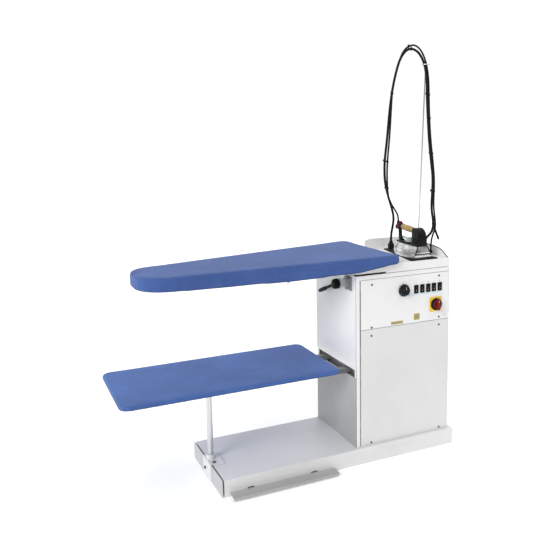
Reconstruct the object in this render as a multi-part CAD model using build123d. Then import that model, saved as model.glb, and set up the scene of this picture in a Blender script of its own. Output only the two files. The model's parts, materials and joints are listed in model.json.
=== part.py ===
"""Vacuum ironing table with a built-in steam generator and a steam iron.

Millimetres, +Z up. The origin is on the floor, under the middle of the cabinet.
Lengths called x and y are measured from the cabinet's left face and front face, and
place() turns them into the part's own frame.
"""
from build123d import *
import os
from math import pi, radians, tan

# ---- driving dimensions ----
CABINET_WIDTH = 473
CABINET_DEPTH = 383
BASE_HEIGHT = 71
BASE_LEFT = -600
BASE_RIGHT = CABINET_WIDTH + 17
BASE_FRONT = -17
END_PLATE_X = -609
COVER_Z = 863
SKIRT_Z = 825
RAIL_Z = 804
PANEL_SPLIT_Z = 589
SLOT_LOW = 381
SLOT_HIGH = 416
SHEET = 1.5
PLATE = 2
FRONT_PANEL_X = (18.5, CABINET_WIDTH - SHEET - 2)

BOARD_TOP_Z = 900
BOARD_EDGE_Z = 838
BOARD_RIGHT = 210
BOARD_TIP = -890
BOARD_FRONT = -28
BOARD_BACK_RIGHT = 486
BOARD_BACK_LEFT = 237
BOARD_INSET = 8
CHAMBER_FLOOR_Z = 848
CHAMBER_OVER_CABINET_Z = 868
CHAMBER_TOP_Z = 889

SHELF_LEFT = -975
SHELF_RIGHT = -48
SHELF_FRONT = 22
SHELF_BACK = 477
SHELF_TOP_Z = 421
SHELF_EDGE_Z = 406

COLUMN_X = 60
COLUMN_Y = 180
COLUMN_SIDE = 60
CLAMP_Y = 156
CLAMP_Z = 766
POST_X = -591
POST_Y = 189
POST_RADIUS = 12

PEDAL_LEFT = -580
PEDAL_RIGHT = -120
PEDAL_FRONT = -72
PEDAL_TOP_Z = 18
PEDAL_LIP_Z = 7
PEDAL_PIN_Y = 60
PEDAL_PIN_Z = 13
PEDAL_PIN_RADIUS = 3
PEDAL_ARMS = (-490, -210)

KNOB_X = 234
KNOB_Z = 741
KNOB_RADIUS = 27
ROCKER_XS = (298, 329, 360, 390, 421)
ROCKER_Z = 739
ROCKER_WIDTH = 20
ROCKER_HEIGHT = 35
SWITCH_X = 399
SWITCH_Z = 662
SWITCH_PLATE = 64

IRON_X = 352
HEEL_Y = 30
MAT_THICKNESS = 4
SOLE_Z = COVER_Z + MAT_THICKNESS + 0.2
SOLE_THICKNESS = 10
BODY_TOP_Z = 918
HANDLE_REAR = (IRON_X, 88, 980)
HANDLE_FRONT = (IRON_X, 196, 989)
BUTTON_Y = 212
BUTTON_RADIUS = 7

HOSE_RADIUS = 5.5
CABLE_RADIUS = 4
CORD_BEND = 0.45
OUTLET = (377, 336)
GLAND = (450, 112)

BOILER = (350, 190, 250)
BOILER_RADIUS = 85
FAN = (131, 180, 420)
FAN_RADIUS = 78
FAN_BLADES = 12

ROD_RADIUS = 3.2
ROD_FOOT = (489, 286, 640)
ROD_TIP = (506, 252, 1728)

# Routes of the steam hose and the cable: x, y from the cabinet's corner, z from the floor.
HOSE_ROUTE = [
    (377, 336, 903), (377, 336, 935), (383, 331, 972), (380, 317, 1015), (361, 303, 1060),
    (334, 293, 1118), (309, 284, 1190), (301, 274, 1280), (309, 264, 1380), (316, 259, 1490),
    (327, 255, 1590), (347, 252, 1682), (371, 249, 1752), (413, 246, 1790), (461, 243, 1775),
    (490, 236, 1722), (496, 226, 1650), (487, 211, 1575), (483, 196, 1485), (480, 180, 1380),
    (483, 166, 1285), (486, 152, 1200), (476, 143, 1150),
]
HOSE_TAIL_ROUTE = [
    (476, 143, 1150), (468, 135.8, 1110), (464, 130, 1063), (468, 124, 1026), (463, 113, 993),
    (444, 97, 971), (420, 82, 958), (398, 71, 951),
]
CABLE_ROUTE = [
    (450, 112, 884.4), (450, 112, 915), (456, 109, 950), (476, 113, 985), (480, 126, 1030),
    (481, 138, 1075), (487, 146, 1125), (496, 156, 1195), (496, 169, 1278), (492, 184, 1378),
    (494, 200, 1488), (502, 216, 1578), (509, 230, 1650), (504, 240, 1722), (482, 252, 1784),
    (443, 257, 1809), (394, 259, 1785), (366, 261, 1725), (346, 264, 1655), (336, 266, 1590),
    (331, 268, 1490), (325, 269, 1385), (315, 270, 1290), (313, 271, 1215), (317, 272, 1160),
]
CABLE_TAIL_ROUTE = [
    (317, 272, 1160), (319.4, 272.6, 1127), (332, 263, 1087), (345, 246, 1056), (352, 234, 1034),
    (352, 232.6, 1012),
]
# Each band: its centre, its direction and its inner radius.
TIE_PLACES = [
    ((483, 146, 1150), (-0.19, -0.17, -0.97), 14.4),
    ((487, 173, 1320), (0.03, -0.15, -0.99), 12.5),
    ((488, 197, 1480), (-0.04, -0.16, -0.99), 12.2),
    ((495, 215, 1584), (-0.09, -0.18, -0.98), 13.8),
    ((421, 252, 1790.5), (1, -0.06, 0), 16.4),
    ((332, 260, 1588), (0.16, -0.04, 0.99), 13.4),
    ((308, 272, 1284), (0.01, -0.1, 0.99), 12.6),
    ((318, 281, 1161), (-0.3, -0.12, 0.95), 14.4),
]
TIE_WIDTH = 6
TIE_WALL = 1.5


def place(x, y, z):
    """A point given from the cabinet's left and front faces, in the part's frame."""
    return Vector(x - CABINET_WIDTH / 2, y - CABINET_DEPTH / 2, z)


def block(x, y, z):
    """A box between pairs of x, y and z."""
    middle = place((x[0] + x[1]) / 2, (y[0] + y[1]) / 2, (z[0] + z[1]) / 2)
    return Pos(*middle) * Box(x[1] - x[0], y[1] - y[0], z[1] - z[0])


def bar(start, end, radius):
    """A round bar between two points."""
    start = place(*start)
    end = place(*end)
    plane = Plane(origin=start, z_dir=end - start)
    return extrude(plane * Circle(radius), amount=(end - start).length)


def prism(points, low, high, radii=None):
    """An upright prism over an outline of x, y points, with its corners rounded."""
    corners = [place(x, y, 0) for x, y in points]
    face = make_face(Polyline(*corners, close=True))
    for corner, radius in zip(corners, radii or []):
        nearest = face.vertices().sort_by(lambda v: (Vector(v.X, v.Y, v.Z) - corner).length)[0]
        if radius:
            face = fillet(nearest, radius)
    return Pos(0, 0, low) * extrude(face, amount=high - low)


def outline_xz(points, y_low, y_high):
    """A prism along y over an outline of x, z points."""
    face = make_face(Polyline(*[place(x, y_low, z) for x, z in points], close=True))
    return extrude(face, amount=y_high - y_low, dir=(0, 1, 0))


def outline_yz(points, x_low, x_high):
    """A prism along x over an outline of y, z points."""
    face = make_face(Polyline(*[place(x_low, y, z) for y, z in points], close=True))
    return extrude(face, amount=x_high - x_low, dir=(1, 0, 0))


def joined(shapes):
    """Several solids as one shape, touching or apart."""
    total = shapes[0]
    for shape in shapes[1:]:
        total = total + shape
    return total


def group(shapes):
    """Several separate solids in one node."""
    return Compound(children=[s for shape in shapes for s in shape.solids()])


def save(name, shape):
    os.makedirs("parts", exist_ok=True)
    shape.label = name
    export_step(shape, f"parts/{name}.step")


# ---- base and pedal ----
def base_tray():
    walls = block((BASE_LEFT, BASE_RIGHT), (BASE_FRONT, CABINET_DEPTH), (0, BASE_HEIGHT))
    inside = block(
        (BASE_LEFT + PLATE, BASE_RIGHT - PLATE),
        (BASE_FRONT + PLATE, CABINET_DEPTH - PLATE),
        (-1, BASE_HEIGHT - PLATE),
    )
    tray = walls - inside
    for arm_x in PEDAL_ARMS:
        tray = tray - block((arm_x - 14, arm_x + 14), (BASE_FRONT - 1, BASE_FRONT + 3), (2.5, 22))
    return tray


def base_pan():
    return block(
        (BASE_LEFT + PLATE + 1, BASE_RIGHT - PLATE - 1),
        (BASE_FRONT + PLATE + 1, CABINET_DEPTH - PLATE - 1),
        (0, PLATE),
    )


def base_end_plate():
    plate = block((END_PLATE_X, END_PLATE_X + PLATE), (BASE_FRONT, CABINET_DEPTH), (0, BASE_HEIGHT + 2))
    spacers = [
        bar((END_PLATE_X + PLATE, y, 40), (BASE_LEFT, y, 40), 6) for y in (40, 320)
    ]
    return joined([plate] + spacers)


def pedal():
    width = (PEDAL_LEFT, PEDAL_RIGHT)
    treadle = block(width, (PEDAL_FRONT, BASE_FRONT - 3), (PEDAL_TOP_Z - 3, PEDAL_TOP_Z))
    lip = block(width, (PEDAL_FRONT, PEDAL_FRONT + 3), (PEDAL_LIP_Z, PEDAL_TOP_Z))
    plate = treadle + lip
    front_corners = plate.edges().filter_by(Axis.Z).sort_by(Axis.Y)[:2]
    plate = fillet(front_corners, 2.5)
    for arm_x in PEDAL_ARMS:
        arm = block((arm_x - 8, arm_x + 8), (BASE_FRONT - 10, PEDAL_PIN_Y), (9, PEDAL_TOP_Z - 2))
        eye = bar((arm_x - 8, PEDAL_PIN_Y, PEDAL_PIN_Z), (arm_x + 8, PEDAL_PIN_Y, PEDAL_PIN_Z), 7)
        plate = plate + arm + eye
    low, high = min(PEDAL_ARMS), max(PEDAL_ARMS)
    hole = bar(
        (low - 20, PEDAL_PIN_Y, PEDAL_PIN_Z), (high + 20, PEDAL_PIN_Y, PEDAL_PIN_Z), PEDAL_PIN_RADIUS + 0.05
    )
    return plate - hole


def pedal_hinge():
    low, high = min(PEDAL_ARMS) - 24, max(PEDAL_ARMS) + 24
    shape = bar((low, PEDAL_PIN_Y, PEDAL_PIN_Z), (high, PEDAL_PIN_Y, PEDAL_PIN_Z), PEDAL_PIN_RADIUS)
    for x in (low + 2, high - 2):
        shape = shape + block((x - 2, x + 2), (PEDAL_PIN_Y - 9, PEDAL_PIN_Y + 9), (PLATE, 24))
    return shape


def pedal_spring():
    wire = 1.0
    radius = 5
    low = PLATE + wire
    high = 9 - wire
    foot = place(PEDAL_ARMS[0], 15, low)
    path = Pos(*foot) * Helix(pitch=(high - low) / 2.5, height=high - low, radius=radius)
    section = Plane(origin=path @ 0, z_dir=path % 0) * Circle(wire)
    return sweep(section, path=path)


def pedal_switch():
    x = PEDAL_ARMS[1]
    body = block((x - 14, x + 14), (24, 34), (25, 41))
    plunger = bar((x, 29, 25), (x, 29, 16.2), 2)
    bracket = block((x + 10, x + 14), (24, 36), (PLATE, 41))
    return joined([body, plunger, bracket])


# ---- cabinet ----
def corner_post(x, y, x_way, y_way, setback=0):
    """An upright angle whose outer corner is at x, y and whose legs run x_way and y_way."""
    leg = 17
    one = block(
        sorted((x, x + x_way * leg)), sorted((y + y_way * setback, y + y_way * (setback + PLATE))),
        (BASE_HEIGHT, SKIRT_Z - 2),
    )
    two = block(
        sorted((x, x + x_way * PLATE)), sorted((y + y_way * setback, y + y_way * (setback + leg))),
        (BASE_HEIGHT, SKIRT_Z - 2),
    )
    return one + two


def column_guide():
    """Two collars that the column slides in, joined by a plate on the left side."""
    half = COLUMN_SIDE / 2 + 0.5
    wall = 4
    outer = block(
        (3, COLUMN_X + half + wall), (COLUMN_Y - half - wall, COLUMN_Y + half + wall), (600, 808)
    )
    window = block((20, 200), (0, CABINET_DEPTH), (640, 745))
    hole = block((COLUMN_X - half, COLUMN_X + half), (COLUMN_Y - half, COLUMN_Y + half), (500, 900))
    stud_way = bar((0, CLAMP_Y, CLAMP_Z), (30, CLAMP_Y, CLAMP_Z), 5.2)
    return outer - window - hole - stud_way


def cabinet_frame():
    left = SHEET
    right = CABINET_WIDTH - SHEET
    posts = [
        corner_post(left, 0, 1, 1),
        corner_post(right, 0, -1, 1, SHEET),
        corner_post(left, CABINET_DEPTH, 1, -1, SHEET),
        corner_post(right, CABINET_DEPTH, -1, -1, SHEET),
    ]
    rails = []
    for low in (BASE_HEIGHT, RAIL_Z):
        high = low + 19
        rails.append(block((left + 17, right - 17), (SHEET, SHEET + PLATE), (low, high)))
        rails.append(
            block(
                (left + 17, right - 17),
                (CABINET_DEPTH - SHEET - PLATE, CABINET_DEPTH - SHEET), (low, high),
            )
        )
        for x in (left, right - PLATE):
            rails.append(block((x, x + PLATE), (17, CABINET_DEPTH - 17), (low, high)))
    middle = block(
        (left + 17, right - 17), (SHEET, SHEET + PLATE), (PANEL_SPLIT_Z - 12, PANEL_SPLIT_Z + 12)
    )
    visible_rail = block((left + 17, right), (0, SHEET), (RAIL_Z, SKIRT_Z - 2))
    return joined(posts + rails + [middle, visible_rail, column_guide()])


def side_rail():
    """The recessed channel in the left side that carries the lower board."""
    depth = 25
    web = block((depth, depth + PLATE), (3, CABINET_DEPTH - 6), (SLOT_LOW - 2, SLOT_HIGH + 2))
    flanges = [
        block((4, depth), (3, CABINET_DEPTH - 6), (z, z + PLATE)) for z in (SLOT_LOW - 2, SLOT_HIGH)
    ]
    return joined([web] + flanges) - block((0, 30), (0, 17), (300, 500)) - block(
        (0, 30), (CABINET_DEPTH - 19, CABINET_DEPTH), (300, 500)
    )


def left_panel(low, high):
    return block((0, SHEET), (0, CABINET_DEPTH), (low, high))


def left_upper_panel():
    panel = left_panel(SLOT_HIGH, SKIRT_Z - 2)
    return panel - bar((-5, CLAMP_Y, CLAMP_Z), (10, CLAMP_Y, CLAMP_Z), 6.5)


def right_panel():
    x = (CABINET_WIDTH - SHEET, CABINET_WIDTH)
    panel = block(x, (0, CABINET_DEPTH), (BASE_HEIGHT, SKIRT_Z - 2))
    for row in range(8):
        z = 150 + row * 14
        panel = panel - block((x[0] - 1, x[1] + 1), (120, 260), (z, z + 4))
    return panel


def back_panel():
    y = (CABINET_DEPTH - SHEET, CABINET_DEPTH)
    panel = block((SHEET, CABINET_WIDTH - SHEET), y, (BASE_HEIGHT, SKIRT_Z - 2))
    for row in range(10):
        z = 150 + row * 14
        panel = panel - block((60, 200), (y[0] - 1, y[1] + 1), (z, z + 4))
    return panel


def control_panel():
    panel = block(FRONT_PANEL_X, (0, SHEET), (PANEL_SPLIT_Z + 1, RAIL_Z - 1))
    panel = panel - bar((KNOB_X, -5, KNOB_Z), (KNOB_X, 5, KNOB_Z), 5)
    panel = panel - bar((SWITCH_X, -5, SWITCH_Z), (SWITCH_X, 5, SWITCH_Z), 7)
    for x in ROCKER_XS:
        half = ROCKER_WIDTH / 2 - 1
        tall = ROCKER_HEIGHT / 2 - 2
        panel = panel - block((x - half, x + half), (-5, 5), (ROCKER_Z - tall, ROCKER_Z + tall))
    return panel


def front_lower_panel():
    return block(FRONT_PANEL_X, (0, SHEET), (BASE_HEIGHT + 2, PANEL_SPLIT_Z - 1))


def panel_screws():
    """Pan-head screws on the front, the sides and the back."""
    heads = []
    for x, z in (
        (76, 781), (417, 788), (75, 596), (419, 601), (74, 560), (420, 565), (73, 82), (428, 82)
    ):
        heads.append(bar((x, 0, z), (x, -2.4, z), 4.5))
    for y in (30, CABINET_DEPTH - 30):
        for z in (100, 450, 790):
            heads.append(bar((CABINET_WIDTH, y, z), (CABINET_WIDTH + 2.4, y, z), 4.5))
    for x in (40, CABINET_WIDTH - 40):
        for z in (100, 450, 790):
            heads.append(bar((x, CABINET_DEPTH, z), (x, CABINET_DEPTH + 2.4, z), 4.5))
    return group(heads)


def top_cover():
    outer = block((0, CABINET_WIDTH), (0, CABINET_DEPTH), (SKIRT_Z, COVER_Z))
    outer = fillet(outer.edges().group_by(Axis.Z)[-1], 4)
    inner = block(
        (SHEET, CABINET_WIDTH - SHEET), (SHEET, CABINET_DEPTH - SHEET), (SKIRT_Z - 1, COVER_Z - SHEET)
    )
    cover = outer - inner
    half = COLUMN_SIDE / 2 + 2
    cover = cover - block(
        (COLUMN_X - half, COLUMN_X + half), (COLUMN_Y - half, COLUMN_Y + half), (800, 900)
    )
    return cover - block((-1, 145), (-1, 20), (SKIRT_Z - 1, SKIRT_Z + 6))


def gallery():
    """The upstand along the back and down the right side of the cover."""
    back_z = 912
    rear = outline_xz(
        [
            (255, COVER_Z + 0.2), (CABINET_WIDTH - 5, COVER_Z + 0.2), (CABINET_WIDTH - 5, back_z),
            (284, back_z + 2), (255, back_z - 6),
        ],
        CABINET_DEPTH - 7, CABINET_DEPTH - 7 + PLATE,
    )
    x_low = CABINET_WIDTH - 7
    side = outline_yz(
        [
            (6, COVER_Z + 0.2), (CABINET_DEPTH - 5, COVER_Z + 0.2), (CABINET_DEPTH - 5, back_z),
            (116, 902), (72, 896), (44, 887), (24, 873),
        ],
        x_low, x_low + PLATE,
    )
    return rear + side


# ---- rest, outlets and rod on the cover ----
def iron_rest_mat():
    points = [(272, 5), (424, 5), (360, 346), (340, 346)]
    return prism(points, COVER_Z, COVER_Z + MAT_THICKNESS, [8, 16, 8, 8])


def steam_outlet():
    x, y = OUTLET
    body = block((x - 12, x + 12), (y - 12, y + 12), (COVER_Z, 890))
    body = fillet(body.edges().filter_by(Axis.Z), 4)
    neck = bar((x, y, 890), (x, y, 903), 9)
    return body + neck


def cable_gland():
    x, y = GLAND
    nut = Pos(*place(x, y, COVER_Z)) * extrude(RegularPolygon(radius=12, side_count=6), amount=7)
    dome = bar((x, y, 870), (x, y, 884), 8)
    dome = fillet(dome.edges().group_by(Axis.Z)[-1], 2.5)
    return nut + dome


def hose_rod():
    """The upright rod, with the loop at its tip that holds the hose and the cable."""
    rod = bar(ROD_FOOT, ROD_TIP, ROD_RADIUS)
    x, y, z = ROD_TIP
    loop = Pos(*place(x - 10, y - 15, z - 11)) * Torus(19, 2)
    return rod + loop


def rod_socket():
    x = ROD_FOOT[0] + 1
    y = ROD_FOOT[1] - 2
    holder = block((CABINET_WIDTH, x + 9), (y - 14, y + 14), (665, 735))
    plate = block((CABINET_WIDTH, CABINET_WIDTH + 3), (y - 32, y + 32), (675, 725))
    screw = bar((x + 9, y, 700), (x + 22, y, 700), 5)
    socket = holder + plate + screw
    return socket - bar(ROD_FOOT, ROD_TIP, ROD_RADIUS + 0.01)


# ---- hose and cable ----
def cord(name, route, radius):
    """A tube along a route whose corners are rounded as far as their runs allow."""
    points = [place(*p) for p in route]
    radii = []
    for before, here, after in zip(points, points[1:], points[2:]):
        arrive = here - before
        leave = after - here
        turn = arrive.get_angle(leave)
        shorter = min(arrive.length, leave.length)
        radii.append(CORD_BEND * shorter / tan(radians(turn) / 2))
    path = FilletPolyline(*points, radius=radii)
    print(name, "length", round(path.length), "tightest radius", round(min(radii)),
          "radii", [round(r) for r in radii])
    section = Plane(origin=path @ 0, z_dir=path % 0) * Circle(radius)
    tube = sweep(section, path=path)
    ideal = pi * radius**2 * path.length
    print(name, "volume over section x length", round(tube.volume / ideal, 4))
    return tube


def beyond(route, distance):
    """A point straight on from the end of a route."""
    before = Vector(*route[-2])
    end = Vector(*route[-1])
    return tuple(end + (end - before).normalized() * distance)


def hose_ties():
    """The bands that hold the hose and the cable together."""
    bands = []
    for centre, direction, inner in TIE_PLACES:
        plane = Plane(origin=place(*centre), z_dir=direction)
        profile = Circle(inner + TIE_WALL) - Circle(inner)
        bands.append(extrude(plane * profile, amount=TIE_WIDTH / 2, both=True))
    return group(bands)


# ---- iron ----
def iron_outline(heel, widest, length, start=0):
    """The iron's plan: a straight heel, bowed sides and a pointed nose."""
    def at(x, y):
        return place(IRON_X + x, HEEL_Y + start + y, 0)
    edges = [Line(at(-heel, 0), at(heel, 0))]
    for way in (1, -1):
        edges.append(
            Spline(
                at(way * heel, 0), at(way * widest, 0.32 * length), at(way * widest * 0.86, 0.58 * length),
                at(way * widest * 0.5, 0.84 * length), at(0, length),
            )
        )
    return make_face(Wire(edges))


def iron_sole():
    return Pos(0, 0, SOLE_Z) * extrude(iron_outline(41, 55, 232), amount=SOLE_THICKNESS)


def iron_body():
    low = SOLE_Z + SOLE_THICKNESS
    bottom = Pos(0, 0, low) * iron_outline(40, 53, 226)
    top = Pos(0, 0, BODY_TOP_Z) * iron_outline(25, 33, 190, 3)
    return loft([bottom, top])


def iron_housing():
    shape = block((IRON_X - 26, IRON_X + 26), (HEEL_Y + 4, HEEL_Y + 56), (BODY_TOP_Z, 996))
    shape = fillet(shape.edges().filter_by(Axis.Z), 8)
    return fillet(shape.edges().group_by(Axis.Z)[-1], 7)


def iron_handle():
    rear = place(*HANDLE_REAR)
    front = place(*HANDLE_FRONT)
    plane = Plane(origin=rear, x_dir=(1, 0, 0), z_dir=front - rear)
    return extrude(plane * Ellipse(15, 13), amount=(front - rear).length)


def iron_front_post():
    foot = block((IRON_X - 10, IRON_X + 10), (200, 220), (BODY_TOP_Z, 926))
    leg = outline_yz([(203, 926), (217, 926), (222, 974), (206, 974)], IRON_X - 8, IRON_X + 8)
    return foot + leg


def iron_head():
    """The switch head on the front of the handle, with the steam button's well and the cable's collar."""
    head = block((IRON_X - 15, IRON_X + 15), (199, 241), (974, 1006))
    head = fillet(head.edges().filter_by(Axis.Z), 6)
    head = fillet(head.edges().group_by(Axis.Z)[-1], 4)
    well = bar((IRON_X, BUTTON_Y, 996), (IRON_X, BUTTON_Y, 1010), BUTTON_RADIUS + 0.4)
    collar = bar(beyond(CABLE_TAIL_ROUTE, 10), CABLE_TAIL_ROUTE[-1], 6)
    return head - well + collar


def steam_button():
    return bar((IRON_X, BUTTON_Y, 1001), (IRON_X, BUTTON_Y, 1012), BUTTON_RADIUS)


def iron_dial():
    dial = bar((IRON_X, 140, 925), (IRON_X, 140, 947), 14)
    stem = bar((IRON_X, 140, BODY_TOP_Z + 0.3), (IRON_X, 140, 925), 5)
    return dial + stem


def iron_boot():
    start = place(*beyond(HOSE_TAIL_ROUTE, 25.6))
    end = place(*HOSE_TAIL_ROUTE[-1])
    plane = Plane(origin=start, z_dir=end - start)
    reach = (end - start).length
    return loft([plane * Circle(11), plane.offset(reach) * Circle(7)]) - iron_housing()


# ---- controls ----
def thermostat_knob():
    skirt = bar((KNOB_X, -1.2, KNOB_Z), (KNOB_X, -6, KNOB_Z), KNOB_RADIUS)
    grip = bar((KNOB_X, -6, KNOB_Z), (KNOB_X, -22, KNOB_Z), KNOB_RADIUS - 6)
    shaft = bar((KNOB_X, -1.2, KNOB_Z), (KNOB_X, 24, KNOB_Z), 3)
    return joined([skirt, fillet(grip.edges().group_by(Axis.Y)[0], 2), shaft])


def main_switch_plate():
    half = SWITCH_PLATE / 2
    plate = block((SWITCH_X - half, SWITCH_X + half), (-4, 0), (SWITCH_Z - half, SWITCH_Z + half))
    plate = fillet(plate.edges().filter_by(Axis.Y), 4)
    return plate - bar((SWITCH_X, -5, SWITCH_Z), (SWITCH_X, 1, SWITCH_Z), 7)


def main_switch_knob():
    disc = bar((SWITCH_X, -4.8, SWITCH_Z), (SWITCH_X, -17, SWITCH_Z), 27)
    grip = block((SWITCH_X - 8, SWITCH_X + 8), (-32, -17), (SWITCH_Z - 26, SWITCH_Z + 26))
    shaft = bar((SWITCH_X, -4.8, SWITCH_Z), (SWITCH_X, 30, SWITCH_Z), 6)
    return joined([disc, fillet(grip.edges().filter_by(Axis.Y), 6), shaft])


def rocker_frames():
    frames = []
    for x in ROCKER_XS:
        half = ROCKER_WIDTH / 2 + 1
        tall = ROCKER_HEIGHT / 2 + 1
        rim = block((x - half, x + half), (-2.5, 0), (ROCKER_Z - tall, ROCKER_Z + tall))
        box = block(
            (x - half + 2.2, x + half - 2.2), (0, 22), (ROCKER_Z - tall + 3.2, ROCKER_Z + tall - 3.2)
        )
        hole = block(
            (x - half + 3.4, x + half - 3.4), (-5, 14), (ROCKER_Z - tall + 4.4, ROCKER_Z + tall - 4.4)
        )
        frames.append(rim + box - hole)
    return group(frames)


def rocker(x):
    """A rocker that stands proud at its top edge and turns on a pin inside its frame."""
    half = ROCKER_WIDTH / 2 - 2.9
    tall = ROCKER_HEIGHT / 2 - 5.5
    face = outline_yz(
        [
            (7, ROCKER_Z - tall * 0.5), (-3.0, ROCKER_Z - tall), (-3.4, ROCKER_Z),
            (-6.4, ROCKER_Z + tall), (7, ROCKER_Z + tall * 0.5),
        ],
        x - half, x + half,
    )
    return face


# ---- upper board, its column and its clamp ----
def board_plan(inset):
    points = [
        (BOARD_RIGHT - inset, BOARD_FRONT + inset), (BOARD_TIP + inset, BOARD_FRONT + inset),
        (BOARD_TIP + inset, BOARD_BACK_LEFT - inset * 0.8), (BOARD_RIGHT - inset, BOARD_BACK_RIGHT - inset),
    ]
    radii = [32 - inset, 122 - inset, 104 - inset, 40 - inset]
    return points, radii


def board_slab(inset, low, high):
    points, radii = board_plan(inset)
    return prism(points, low, high, radii)


def board_chamber():
    """The hollow suction box, with a perforated top and an opening over the column."""
    shell = board_slab(BOARD_INSET, CHAMBER_FLOOR_Z, CHAMBER_TOP_Z)
    inner = board_slab(BOARD_INSET + PLATE, CHAMBER_FLOOR_Z + PLATE, CHAMBER_TOP_Z - PLATE)
    over = block((-6, 230), (-60, 500), (700, CHAMBER_OVER_CABINET_Z))
    over_inner = block((-8, 230), (-60, 500), (700, CHAMBER_OVER_CABINET_Z + PLATE))
    half = COLUMN_SIDE / 2 - 3
    duct = block((COLUMN_X - half, COLUMN_X + half), (COLUMN_Y - half, COLUMN_Y + half), (860, 875))
    chamber = (shell - over) - (inner - over_inner) - duct
    for column in range(13):
        for row in range(5):
            x = -800 + column * 70
            y = 30 + row * 42
            chamber = chamber - block((x, x + 40), (y, y + 8), (CHAMBER_TOP_Z - 5, CHAMBER_TOP_Z + 1))
    return chamber


def board_cover():
    """The padded fabric cover: a top layer and a skirt round the edge."""
    solid = board_slab(0, BOARD_EDGE_Z, BOARD_TOP_Z)
    hollow = board_slab(BOARD_INSET - 0.5, BOARD_EDGE_Z - 1, CHAMBER_TOP_Z)
    below = outline_xz(
        [
            (-950, 800), (-950, 849), (BOARD_TIP, 849), (-300, BOARD_EDGE_Z), (0, BOARD_EDGE_Z + 4),
            (180, BOARD_EDGE_Z + 25), (230, BOARD_EDGE_Z + 28), (230, 800),
        ],
        -60, 500,
    )
    over = block((120, 230), (BOARD_FRONT + BOARD_INSET, 400), (800, COVER_Z + 3))
    return solid - hollow - below - over


def board_column():
    half = COLUMN_SIDE / 2
    inner = half - 3
    x = (COLUMN_X - half, COLUMN_X + half)
    y = (COLUMN_Y - half, COLUMN_Y + half)
    outer = block(x, y, (560, CHAMBER_OVER_CABINET_Z))
    hole = block((COLUMN_X - inner, COLUMN_X + inner), (COLUMN_Y - inner, COLUMN_Y + inner), (550, 900))
    return outer - hole


def clamp_lever():
    hub = bar((-30, CLAMP_Y, CLAMP_Z), (-4, CLAMP_Y, CLAMP_Z), 23)
    hub = fillet(hub.edges().group_by(Axis.X)[0], 6)
    stud = bar((-4, CLAMP_Y, CLAMP_Z), (28, CLAMP_Y, CLAMP_Z), 5)
    arm = bar((-18, CLAMP_Y, CLAMP_Z), (-24, 286, 714), 6.5)
    grip = bar((-21.5, 231, 736), (-24.5, 301, 708), 9)
    return joined([hub, stud, arm, grip])


def board_stop():
    """The bracket on the left side whose screw sets the board's lowest height."""
    plate = block((-4, 0), (35, 89), (756, 816))
    boss = block((-24, -4), (50, 78), (772, 806))
    screw = bar((-13, 64, 760), (-13, 64, CHAMBER_FLOOR_Z - 0.3), 5)
    nut = bar((-13, 64, 806), (-13, 64, 814), 10)
    heads = [bar((-4, y, z), (-8, y, z), 5) for y, z in ((42, 764), (82, 764), (42, 808), (82, 808))]
    return joined([plate, boss, screw, nut] + heads)


# ---- lower board and its post ----
def shelf_slab(inset, low, high):
    points = [
        (SHELF_LEFT + inset, SHELF_FRONT + inset), (SHELF_RIGHT - inset, SHELF_FRONT + inset),
        (SHELF_RIGHT - inset, SHELF_BACK - inset), (SHELF_LEFT + inset, SHELF_BACK - inset),
    ]
    return prism(points, low, high, [38 - inset] * 4)


def lower_board_core():
    return shelf_slab(6, SHELF_EDGE_Z, SHELF_TOP_Z - 4)


def lower_board_cover():
    return shelf_slab(0, SHELF_EDGE_Z + 1, SHELF_TOP_Z) - shelf_slab(5.5, SHELF_EDGE_Z, SHELF_TOP_Z - 3.7)


def shelf_bracket():
    """Two arms and a cross bar from the side channel to under the lower board."""
    arms = [block((-170, 25), (y - 12, y + 12), (SLOT_LOW + 3, SHELF_EDGE_Z)) for y in (95, 295)]
    cross = block((-170, -150), (107, 283), (SHELF_EDGE_Z - 8, SHELF_EDGE_Z))
    return joined(arms + [cross])


def board_post():
    tube = bar((POST_X, POST_Y, 76), (POST_X, POST_Y, SHELF_EDGE_Z), POST_RADIUS)
    flange = bar((POST_X, POST_Y, SHELF_EDGE_Z - 5), (POST_X, POST_Y, SHELF_EDGE_Z), 34)
    return tube + flange


def post_foot():
    width = (128, 234)
    top = block((END_PLATE_X, -552), width, (BASE_HEIGHT + 2, BASE_HEIGHT + 5))
    pads = block((BASE_LEFT + 2, -552), width, (BASE_HEIGHT, BASE_HEIGHT + 2))
    flange = block((END_PLATE_X - 3, END_PLATE_X), width, (8, BASE_HEIGHT + 5))
    collar = bar((POST_X, POST_Y, BASE_HEIGHT + 5), (POST_X, POST_Y, BASE_HEIGHT + 24), 18)
    top_screw = bar((POST_X, 143, 76), (POST_X, 143, 80), 6)
    end_screw = bar((END_PLATE_X - 3, 201, 35), (END_PLATE_X - 6, 201, 35), 6)
    foot = joined([top, pads, flange, collar, top_screw, end_screw])
    return foot - bar((POST_X, POST_Y, 76), (POST_X, POST_Y, 200), POST_RADIUS + 0.02)


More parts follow.
